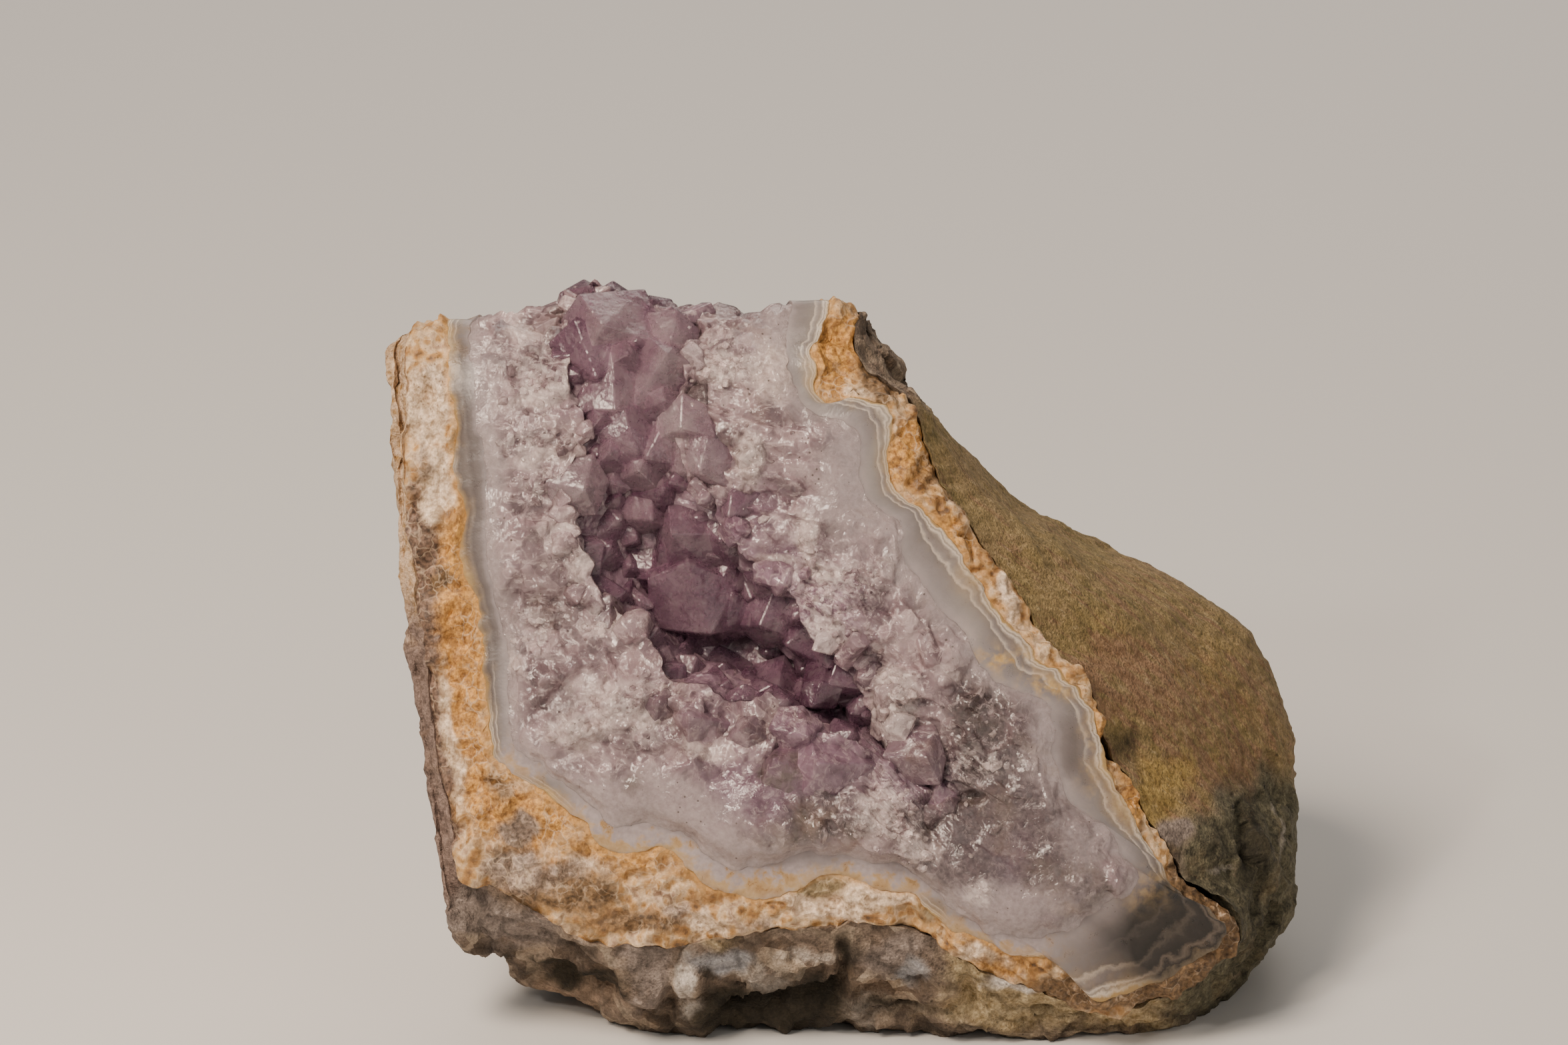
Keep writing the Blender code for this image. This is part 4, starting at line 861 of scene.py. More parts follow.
rind = {
    "rows": 44, "lumps": 0.8, "grit": 0.34, "edgeDip": 0.35,
    "zones": {  # soft round patches: (x, y, half width, half height, strength)
        "orange": ((-38.2, 8, 2.2, 9, 1), (-32, -14, 6, 3.6, 1.2), (-22, -19, 5, 2, 0.8),
                   (-1.5, 30.5, 2.4, 4.5, 1.2), (6.5, 21, 2, 4, 1), (14, -29, 6, 2, 0.7),
                   (-36.6, -4, 1.3, 8, 1), (25, -7, 1.2, 5, 0.8), (28.5, -13, 1.8, 4, 0.9),
                   (11.5, 13.6, 2, 2, 0.7)),
        "white": ((-41.5, 26, 2.4, 4.5, 1.4), (-40.6, 17, 1.8, 4, 0.9), (0, -22.8, 6.5, 1.5, 1.6),
                  (-33, -12.6, 3, 1.5, 0.7), (-26, -20, 3, 2, 0.7), (-38.8, -7, 1.1, 10, 0.8),
                  (2, 27.2, 2.8, 0.9, 1), (16, 6.6, 1.2, 4, 0.8), (-14, -25.5, 4, 1.2, 0.8),
                  (13, -28.8, 5, 1.2, 0.7), (33, -25, 4, 1, 0.5)),
        "pink": ((-42.4, 10, 1.6, 8, 1), (-41, -6, 1.7, 17, 1.5), (-30, -21, 6, 2.6, 0.6),
                 (-17, -24, 5, 2, 0.4)),
        "grey": ((-33.5, -15.8, 2.2, 0.8, 1.3), (-33, -19, 3, 2, 1), (-30, -21.6, 2.4, 1.6, 1),
                 (-26.5, -20.6, 2, 1.4, 0.9), (-17, -24.6, 1.6, 1.4, 0.8), (-42, 20, 1.2, 2, 0.6),
                 (-41.6, -14, 1.4, 4, 0.8), (24, -31, 3, 1.2, 0.7), (-8, -25.6, 3, 1, 0.6)),
        "brown": ((-25.5, -22.5, 3.4, 2.4, 1), (-40, 8.4, 1.6, 1.4, 0.9), (-34.6, -12, 1.6, 3, 0.6),
                  (-20, -26, 5, 1.4, 0.9), (3.2, 31, 1.3, 3.6, 1.3), (4.4, 28, 1.6, 1.6, 0.9),
                  (8, 18.6, 1.8, 1.6, 0.6), (22.5, -32.5, 3, 1.6, 0.8), (33, -32, 10, 3, 2), (39.5, -26, 4, 7, 2),
                  (35, -21.6, 3, 2, 1.4), (24, -32.6, 5, 1.4, 1.2), (-31, -22.6, 4, 1.5, 0.6)),
        "olive": ((-4.5, -20.9, 3.6, 1.3, 1.4), (8, -24.4, 2, 1.4, 0.6)),
    },
    "looks": {  # zone: cloud's low and high, most, dark and light
        "pink": (0.55, 0.95, 1.0, (0.075, 0.05, 0.042), (0.27, 0.195, 0.165)),
        "orange": (0.55, 1.0, 1.0, (0.30, 0.145, 0.035), (0.64, 0.39, 0.125)),
        "white": (0.74, 1.05, 1.0, (0.52, 0.42, 0.33), (0.88, 0.80, 0.71)),
        "grey": (0.62, 1.05, 1.0, (0.16, 0.135, 0.125), (0.40, 0.345, 0.325)),
        "brown": (0.6, 1.05, 1.0, (0.10, 0.068, 0.038), (0.25, 0.17, 0.095)),
        "olive": (0.6, 1.0, 1.0, (0.28, 0.24, 0.15), (0.40, 0.35, 0.24)),
    },
}


def rindHeight(grid, across):
    # Lumps + broken bits + grit, fading towards the agate, less a dip along the rock.
    lumps = layeredNoise(grid, 3.4, 101, 3, 0.55) * rind["lumps"]
    broken, _ = brokenField(grid, 2.6, 102)
    grit = layeredNoise(grid, 0.9, 103, 2, 0.6) * rind["grit"]
    away = np.clip((1 - across) * 8, 0.1, 1)
    return (0.25 + lumps + 0.6 * broken + grit) * away - rind["edgeDip"] * np.clip(1 - across * 9, 0, 1)


def rindExtras(grid, across):
    # What the rind's material reads: its zones, and how far across it a place is.
    return {**zonesOf(grid, rind["zones"]), "across": across}


def dressRind(piece):
    # Rusty grains of many tones, then the zones, pale seams, an orange edge along the agate, and specks.
    made, tree, shader, place = newMaterial("stainedRind", {
        "Roughness": 0.6, "Subsurface Weight": 0.12, "Subsurface Scale": 0.0012,
        "Subsurface Radius": (1.0, 0.6, 0.35)})
    wide = noise(place, 4.0, 5, 0.6)
    lumpy = add(tree, "ShaderNodeTexVoronoi", {"Vector": place, "Scale": 950.0, "Smoothness": 0.6},
                feature="SMOOTH_F1")
    mid = weighted((noise(place, 1.5, 5, 0.6), 0.62), (lumpy.outputs["Distance"], 0.42))
    fine = noise(place, 0.45, 3, 0.55)
    tone = ramp(weighted((wide, 0.45), (mid, 0.55)), (
        (0.36, (0.16, 0.10, 0.055)), (0.43, (0.38, 0.22, 0.085)), (0.49, (0.54, 0.36, 0.17)),
        (0.55, (0.72, 0.60, 0.45)), (0.62, (0.42, 0.31, 0.24))))
    tone = patches(tone, times(mid, 0.7), fine, (0.3, 0.65), rind["looks"], rind["looks"])
    cells = useGroup(grown, place, 760.0)
    tone = shaded(tone, cells["Tone"], ((0.1, (0.72, 0.68, 0.62)), (0.9, (1.15, 1.15, 1.15))))
    pale = times(cells["Seam"], span(wide, 0.45, 0.6, 0.0, 0.5))
    tone = blend(pale, tone, (0.80, 0.70, 0.58))
    edge = times(span(mask(tree, "across"), 0.86, 1.0), span(mask(tree, "brown"), 0.2, 0.8, 1.0, 0.0))
    tone = blend(times(edge, 0.6), tone, (0.60, 0.36, 0.12))
    dark = useGroup(specks, place, 1500.0, 0.5)["Mask"]
    tone = blend(times(dark, 0.5), tone, (0.12, 0.08, 0.05))
    tone = shaded(tone, fine, ((0.25, (0.66, 0.58, 0.48)), (0.7, (1.08, 0.96, 0.82))))
    finish(shader, tone, span(mid, 0.3, 0.7, 0.42, 0.8), useGroup(grain, place, 3200.0)["Height"], 0.5, 0.16)
    piece.data.materials.append(made)


rindPiece = makeBand("rind_iron_stained", "rock", "rind", rind["rows"], rindHeight, rindExtras)
dressRind(rindPiece)
print("amethyst: rind made")

agate = {
    "rows": 40, "swell": 0.14, "wave": 0.0746667,
    "zones": {  # soft round patches: (x, y, half width, half height, strength)
        "dark": ((33, -27, 8, 6, 1.5),),
        "milky": ((-22, -17, 9, 3.4, 1.5), (-9, -21.5, 5, 2.4, 1.4), (3, -21, 7, 2.2, 1.2), (14, -26.5, 7, 2.2, 0.9),
                  (-32, -9.5, 2.6, 2.6, 0.9), (-34, 33, 4, 3, 0.8)),
        "plain": ((-37, 8, 3, 18, 1.4), (-38, 28, 3, 5, 1), (-8, 35, 4, 2, 0.8), (22, -9, 3, 5, 0.7)),
        "cream": ((-3.5, 31, 1.2, 5, 0.7), (12, 9, 1.5, 7, 0.5), (3.5, 22, 1.2, 5, 0.5)),
        "golden": ((15.5, 1.2, 3.4, 1.6, 1), (20.5, -1.6, 2.4, 1.2, 1), (24, -9, 1, 4, 0.5),
                   (30, -22, 3, 2, 0.4)),
    },
}


def agateHeight(grid, across):
    # Soft swells that ease out to nothing at the quartz: 1 - share squared x (3 - 2 x share).
    return (0.1 + agate["swell"] * layeredNoise(grid, 4.0, 112, 4)) * (1 - across**2 * (3 - 2 * across))


def agateExtras(grid, across):
    # band runs from 0 at the rind to 1 at the quartz, and wanders with noise.
    drift = layeredNoise(grid, 3.2, 113, 3, 0.55) * agate["wave"]
    return {**zonesOf(grid, agate["zones"]), "band": across + drift}


def dressAgate(piece):
    # Cream and grey lines along band, plainer, milky or dark and ringed in zones, with rust from the rind's side.
    made, tree, shader, place = newMaterial("bandedAgate", {
        "Roughness": 0.32, "Transmission Weight": 0.2, "IOR": 1.54,
        "Subsurface Weight": 0.6, "Subsurface Scale": 0.0025, "Subsurface Radius": (1.0, 0.8, 0.7)})
    wide = noise(place, 4.0, 4, 0.55)
    mid = noise(place, 1.4, 5, 0.6, 0.3)
    fine = noise(place, 0.5, 3, 0.5)
    band = plus(mask(tree, "band"), times(maths("SUBTRACT", mid, 0.5), 0.22))
    band = plus(band, times(maths("SUBTRACT", fine, 0.5), 0.05))
    tone = ramp(band, (
        (0.0, (0.46, 0.29, 0.11)), (0.05, (0.78, 0.67, 0.54)), (0.09, (0.30, 0.24, 0.19)), (0.13, (0.74, 0.64, 0.54)),
        (0.17, (0.36, 0.30, 0.25)), (0.21, (0.20, 0.165, 0.15)), (0.30, (0.28, 0.24, 0.23)),
        (0.36, (0.58, 0.50, 0.43)), (0.40, (0.21, 0.18, 0.17)), (0.55, (0.25, 0.22, 0.215)),
        (0.75, (0.31, 0.27, 0.27)), (1.0, (0.44, 0.37, 0.37))))
    grey = ramp(band, (
        (0.0, (0.42, 0.26, 0.10)), (0.1, (0.26, 0.19, 0.13)), (0.22, (0.13, 0.105, 0.094)), (0.4, (0.19, 0.16, 0.15)),
        (0.55, (0.135, 0.113, 0.108)), (0.8, (0.20, 0.168, 0.164)), (1.0, (0.38, 0.32, 0.325))))
    plain = plus(mask(tree, "plain"), times(wide, 0.5))
    tone = blend(span(plain, 0.5, 0.9), tone, grey)
    milk = plus(mask(tree, "milky"), times(mid, 0.5))
    tone = blend(span(milk, 0.5, 0.95), tone, ramp(fine, ((0.3, (0.38, 0.31, 0.315)), (0.65, (0.50, 0.42, 0.425)))))
    soaked = plus(times(maths("SUBTRACT", mid, 0.5), 4.0), band)
    rusty = times(mask(tree, "milky"), span(soaked, 0.25, 0.75, 1.0, 0.0))
    tone = blend(times(rusty, 0.85), tone, ramp(mid, ((0.35, (0.44, 0.25, 0.08)), (0.6, (0.68, 0.48, 0.24)))))
    tone = blend(times(mask(tree, "cream"), 0.35), tone, (0.74, 0.64, 0.52))
    # The bull's-eye's dark rings are its own banding, made darker still as painted shade over the lower right.
    rings = ramp(band, (
        (0.0, (0.16, 0.12, 0.075)), (0.06, (0.02, 0.015, 0.011)), (0.12, (0.13, 0.10, 0.075)),
        (0.18, (0.02, 0.016, 0.012)), (0.30, (0.032, 0.026, 0.021)), (0.35, (0.08, 0.064, 0.05)),
        (0.40, (0.016, 0.013, 0.010)), (0.56, (0.03, 0.025, 0.021)), (0.60, (0.055, 0.045, 0.038)),
        (0.64, (0.02, 0.017, 0.014)), (1.0, (0.07, 0.058, 0.052))))
    ringed = span(mask(tree, "dark"), 0.1, 0.95)
    tone = blend(ringed, tone, rings)
    rust = times(useGroup(iron, place, amount=0.42)["Mask"], span(band, 0.1, 0.6, 0.8, 0.0))
    rust = times(rust, without(ringed))
    gold = times(mask(tree, "golden"), span(mid, 0.42, 0.6))
    tone = blend(larger(gold, rust), tone, ramp(fine, ((0.3, (0.46, 0.27, 0.08)), (0.65, (0.70, 0.48, 0.20)))))
    height = useGroup(grain, place, 2400.0)["Height"]
    facets = times(useGroup(grown, place, 1300.0)["Height"], 1.5)
    finish(shader, tone, span(mid, 0.3, 0.7, 0.24, 0.5), plus(height, facets), 0.3, 0.1)
    piece.data.materials.append(made)


agatePiece = makeBand("agate_wavy_bands", "rind", "agate", agate["rows"], agateHeight, agateExtras)
dressAgate(agatePiece)
print("amethyst: agate made")


# Quartz crust: broken columns that run from the agate to the hollow
crust = {
    "rows": (40, 66), "wallRows": 8,
    "columns": {"around": 100, "lengthMm": 6.0, "level": 0.75, "slope": 0.9},
    "chunks": {"lengthMm": 2.6, "level": 0.8, "slope": 1.1},
    "flakes": {"lengthMm": 1.25, "level": 0.34, "slope": 1.1},
    "grains": {"around": 420, "lengthMm": 0.5, "level": 0.22, "slope": 0.5},
    # swells and hollows: (x, y, half width, half height, rise)
    "swells": ((-9, -13.5, 4.5, 3.4, 0.7), (1, -15, 3.6, 2.4, 0.6), (4.8, -3.6, 1.7, 3.4, 2.0),
               (-9.3, 20.5, 1.5, 2.2, 1.2), (-24, -3, 3, 3, 0.8), (-29.6, -1, 2.2, 1.2, 1.2),
               (-26.8, -6.4, 2.2, 1.8, 1.1), (-22, -3.4, 3.0, 1.6, 0.9), (-30, 5, 1.6, 1.2, 0.9),
               (4.4, -15.5, 3.4, 2.8, 0.9), (12, -19.5, 5, 4, 0.6), (-3.2, 12.8, 1.4, 2.6, 0.9),
               (-28, 27.5, 2.6, 2.4, 0.5), (-8, 29, 3, 3, 0.5), (-1, 6, 3, 3, 0.5)),
    "hollows": ((8.4, -10.6, 1.3, 1.2, 2.4), (-5.2, 23.5, 2.4, 1.0, 0.6), (12.3, -13, 1.6, 0.7, 1.3),
                (-30, 17, 5, 0.8, 0.6), (2.6, -11, 1.0, 3, 0.8), (-5.2, -8, 0.8, 3.4, 1.0), (-12, -6, 0.8, 2.6, 0.8),
                (-15, 27.6, 1.2, 1.2, 1.2), (-27.6, 26, 1.6, 0.8, 1.2), (-31, 6.5, 2.6, 1.2, 0.8),
                (8.4, -16, 0.9, 4, 0.9), (-18, -4.6, 1.2, 0.6, 1.0)),
    "zones": {  # soft round patches: (x, y, half width, half height, strength)
        # Frosted: smoother quartz; its dark look is partly painted shade over the lower face.
        "frosted": ((17, -18, 8, 6, 1.3), (-10, -12, 6, 4, 0.7), (9, -21, 4, 3, 0.7), (-1, -9, 5, 4, 0.8),
                    (16, -9, 3, 4, 0.5)),
        "sparkly": ((4.5, -13.8, 2.6, 2.8, 1.5), (4.6, -3.8, 1.4, 2.6, 1), (-27, -6.5, 2.2, 1.6, 1.2),
                    (-30, 4.6, 1.8, 1.2, 1.1), (-30.5, 2.2, 2, 1.2, 1), (-22, -3.2, 4, 1.8, 1.3),
                    (-31, 22, 3.6, 1.2, 0.9), (-31, 29, 4, 3, 0.9), (-2, 7.5, 3, 3, 1.1), (-2, 3, 2.2, 2, 1),
                    (1.4, 8.6, 2.4, 2, 0.8), (6, -18.4, 1.6, 2, 0.9), (12, -9, 2.2, 1, 0.9), (15, -9, 2, 1, 0.7),
                    (-12, 29, 2.6, 1.5, 1), (-9.4, 20.5, 1.3, 2, 1.2), (-27, 12.6, 1.8, 3, 0.9),
                    (-24, 5, 2, 1.6, 0.9), (-29, 17.5, 3, 1.2, 0.8), (-3, 12.6, 1.6, 2, 0.9), (3, 1.6, 2, 2, 0.7),
                    (-20, -7.4, 3, 1.2, 0.7), (-14, 31.6, 4, 1.2, 0.7), (12, -22.6, 1.4, 1.4, 0.9)),
        "columnar": ((-32, 12, 7, 26, 1.2), (-9, 27, 8, 7, 1.2), (-5, 14, 6, 7, 0.8), (-30, 30, 6, 6, 1)),
        "milky": ((0.6, 19.5, 3.2, 6.5, 1.4), (-20, -14.5, 9, 3.2, 1.4), (-9, -19, 6, 2, 1.2), (5, 11, 1.6, 4, 0.8),
                  (14, -24, 8, 2.6, 1), (-6.5, 33, 2.6, 3, 1.2), (20, -7, 2.4, 6, 1), (-35, 14, 1, 18, 0.8),
                  (23, -18, 3, 4, 0.6)),
        "white": ((-12, 29.4, 2.8, 1.2, 1.3), (-7.5, 29, 2.4, 2.6, 1.2), (-3.4, 13, 1.2, 2.2, 1.2),
                  (-27, -7, 2.4, 1.6, 1.2), (-25, -2, 2.2, 1.4, 1), (-9.5, 20.5, 1.2, 1.9, 1.7),
                  (4.6, -3.6, 1.5, 3, 1.7), (-30.5, 26.5, 3.6, 1.2, 1), (4.2, -14, 2.4, 2.2, 1.1),
                  (-20.5, -6, 1.8, 1.4, 1), (-2, 9.6, 2, 1.2, 0.8), (-30, 20, 3, 1, 0.8),
                  (-25.6, 10.6, 1.6, 1.2, 1), (-32, 33, 3, 1.2, 0.8), (7, -18.5, 2.4, 1.4, 0.9),
                  (-2, 4, 1.8, 1.2, 0.7), (-13.5, -7.8, 2.2, 1.2, 0.8), (10.5, -1, 2, 1.2, 0.6),
                  (-27.4, 29, 0.8, 1.6, 1.3), (-12, 12.8, 2.4, 0.6, 0.9), (-22.6, 4, 1.8, 1, 0.8),
                  (-32, 0, 1.8, 1.2, 0.8), (-24, -5, 2, 1.2, 0.8), (-7, 10.2, 2, 0.8, 0.8),
                  (12, -22.6, 1, 1.4, 1.1), (-35, -4.5, 1.4, 0.5, 1.2), (-29, 13, 2.2, 1.4, 0.6),
                  (-13, 24, 3, 0.8, 0.7)),
        "purple": ((-8, 8, 5, 4, 0.8), (-3, 7, 5, 4, 0.6), (0, 3, 5, 4, 0.8), (-1, -9, 4.5, 4, 0.8),
                   (-9, -10.5, 6, 4, 0.8), (-16, -5.5, 4, 3, 0.7), (5, -12, 3, 3, 0.6), (-9.5, 15.5, 3.4, 3, 1.1),
                   (8, -11, 3, 3, 1), (-18, 34, 3.5, 2.6, 0.7), (15, -19, 5, 4, 0.35), (-5, 11, 4, 2, 0.6),
                   (-10, -13, 4, 3, 0.8), (-28, 26, 1.6, 1.2, 0.8)),
        # Grey: the quartz's own grey, partly painted shade over the lower face and some hollows.
        "grey": ((14, -10, 6, 6, 1), (18, -19, 6, 5, 0.9), (-2, -14, 6, 3, 1), (-11, -13.5, 5, 3, 0.7),
                 (-30.5, 6, 3, 4, 0.35), (10, -18, 5, 5, 0.7), (-6, -17, 4, 2, 0.6), (13, -3, 3, 3, 0.8),
                 (-27, 6, 3, 4, 0.3), (-28, 23, 4, 3, 0.2), (-28, -4, 3, 2, 0.5), (8.5, -15, 2, 4, 1),
                 (-15, 27.5, 1.4, 1.6, 0.8), (23, -25, 4, 4, 0.8)),
        # Iron stains, and painted shade where some of these patches sit in the hollows.
        "stainAndShade": ((12.5, -13, 2.4, 1.4, 1), (-22, -12, 2, 1.4, 0.8), (14, -5, 3, 1.6, 0.8),
                  (-8, -10.2, 0.9, 1.3, 1.3), (-5.4, -15.5, 1.2, 1.6, 1), (-18, -4.5, 1.4, 0.6, 1.2),
                  (24, -22, 4, 2, 0.8), (-34.5, 0, 1.4, 6, 0.5), (-31.5, 5.5, 2, 1.4, 0.7), (8.6, -14, 1, 3, 0.7),
                  (21, -20, 3, 1.2, 0.6)),
    },
    "looks": {  # zone: cloud's low and high, most, dark and light
        # The grey and frosted looks are dark partly as painted shade.
        "grey": (0.6, 1.1, 0.95, (0.055, 0.04, 0.042), (0.17, 0.125, 0.13)),
        "frosted": (0.6, 1.1, 0.95, (0.09, 0.066, 0.071), (0.19, 0.142, 0.15)),
        "milky": (0.6, 1.1, 0.85, (0.37, 0.295, 0.305), (0.52, 0.43, 0.437)),
        "white": (0.6, 1.1, 0.7, (0.50, 0.39, 0.38), (0.98, 0.82, 0.79)),
    },
}


def facetField(a, b, salt, around, slope):
    # Broken faces side by side: every jittered lattice cell is a plane with its own level and lean. Returns height,
    # and a random tone per face.
    first, height, tone = np.full(a.shape, 9.0), np.zeros(a.shape), np.zeros(a.shape)
    for i, j, x, y in cellsAround(a, b, around):
        x, y = x - scatter(i, j, 1, salt), y - scatter(i, j, 2, salt)
        away = np.hypot(x, y)
        lean = (scatter(i, j, 4, salt) - 0.5) * x + (scatter(i, j, 5, salt) - 0.5) * y
        height = np.where(away < first, scatter(i, j, 3, salt) - 0.5 + 2 * slope * lean, height)
        tone = np.where(away < first, scatter(i, j, 6, salt), tone)
        first = np.minimum(first, away)
    return height, tone


def eased(values, rounds):
    # Evens a grid out with its neighbours, round the ring and across it: (one before + 2 x itself + one after) / 4.
    for _ in range(rounds):
        values = (np.roll(values, 1, axis=1) + 2 * values + np.roll(values, -1, axis=1)) / 4
        wide = np.vstack([values[:1], values, values[-1:]])
        values = (wide[:-2] + 2 * values + wide[2:]) / 4
    return values


def crystalRelief(grid, zones, nearRim):
    # Long broken columns in some zones and chunks in the others, worn round like glass, with flakes over both and
    # small sharp points where it sparkles. Calm where it is milky. Returns the relief, a tone and the points' tone,
    # and how near the agate is.
    share = np.arange(grid.shape[1]) / grid.shape[1]
    drift = layeredNoise(grid, 6.0, 201, 2) * 0.5
    run = lengthDown(grid)
    fields = {}
    kind = crust["columns"]
    a = np.mod(share * kind["around"] + drift * 1.4, kind["around"])
    fields["columns"] = facetField(a, run / kind["lengthMm"] + drift, 210, kind["around"], kind["slope"])
    for k, key in enumerate(("chunks", "flakes")):
        kind = crust[key]
        a, b = (grid[..., 0] + 2 * drift) / kind["lengthMm"], (grid[..., 1] - 2 * drift) / kind["lengthMm"]
        fields[key] = facetField(a + 500, b + 500, 211 + k, 1000, kind["slope"])
    kind = crust["grains"]
    a = np.mod(share * kind["around"] + drift * 2, kind["around"])
    grains, grainTone = pointField(a, run / kind["lengthMm"] + drift, 213, kind["around"])
    long = np.clip(zones["columnar"] * 1.2 * (1 - 0.7 * nearRim), 0, 1)
    long = long > 0.25 + 0.5 * scatter(*[np.floor(grid[..., k] / 3).astype(np.int64) for k in (0, 1)], 0, 224)
    body = np.where(long, *(fields[key][0] * crust[key]["level"] for key in ("columns", "chunks")))
    body = eased(body, 1) * (1 - 0.75 * zones["frosted"])
    tone = eased(np.where(long, fields["columns"][1], fields["chunks"][1]), 2)
    calm = np.clip(1 - 0.9 * np.maximum(zones["milky"], 1 - np.clip(run / 2.0, 0, 1)), 0, 1)
    rough = np.clip(0.55 + 0.6 * layeredNoise(grid, 5.0, 222, 2) + 0.5 * zones["sparkly"], 0, 1)
    fine = eased(fields["flakes"][0], 1) * crust["flakes"]["level"] * rough * (1 - 0.6 * zones["frosted"])
    relief = calm * (body + fine + grains * crust["grains"]["level"] * zones["sparkly"])
    relief += layeredNoise(grid, 0.9, 223, 2) * 0.03
    relief += 0.7 * mounds(grid, crust["swells"], 1.15, 0.9) - 0.9 * mounds(grid, crust["hollows"], 1.15, 0.9)
    return relief, 0.7 * tone + 0.3 * eased(fields["flakes"][1], 1), grainTone, np.clip(1 - run / 3.0, 0, 1)


def makeCrust():
    # The broken face from agate to rim, then down the hollow's wall, with the hidden bowl behind.
    grid = rowsThrough([edges["agate"], outline("crown"), edges["rim"]], crust["rows"])
    normal = facing(grid)
    zones = zonesOf(grid, crust["zones"])
    nearRim = np.clip(1 - lengthDown(grid[::-1])[::-1] / 3.0, 0, 1)
    relief, tone, sparkle, nearAgate = crystalRelief(grid, zones, nearRim)
    relief = relief - 0.25 * np.clip((grid[..., 1] - 31) / 4, 0, 1)  # lower along the top edge
    grid = grid + normal * relief[..., None]
    outside, pole = bowl(grid[0], bowls["depths"]["agateEdge"], -1)
    share = np.linspace(0, 1, crust["wallRows"] + 1)[1:, None, None]
    wall = np.empty((crust["wallRows"], grid.shape[1], 3))
    wall[..., 2] = grid[-1][:, 2] + (floorLine[:, 2] + 1.5 - grid[-1][:, 2]) * share[..., 0] ** 0.6
    wall[..., :2] = grid[-1][:, :2] + (floorLine[:, :2] - grid[-1][:, :2]) * share**1.2
    zones = {**zones, "nearRim": nearRim, "nearAgate": nearAgate}
    before, after = np.zeros((len(outside) - 1, grid.shape[1])), np.ones((len(wall), grid.shape[1]))
    extras = {key: np.vstack([before, values, after * (key in ("purple", "nearRim"))])
              for key, values in {**zones, "tone": tone, "sparkle": sparkle}.items()}
    made = skin("quartz_crust_broken", np.vstack([outside[:0:-1], grid, wall]), pole, None, extras, crispDeg=44)
    return made, grid, normal, zones


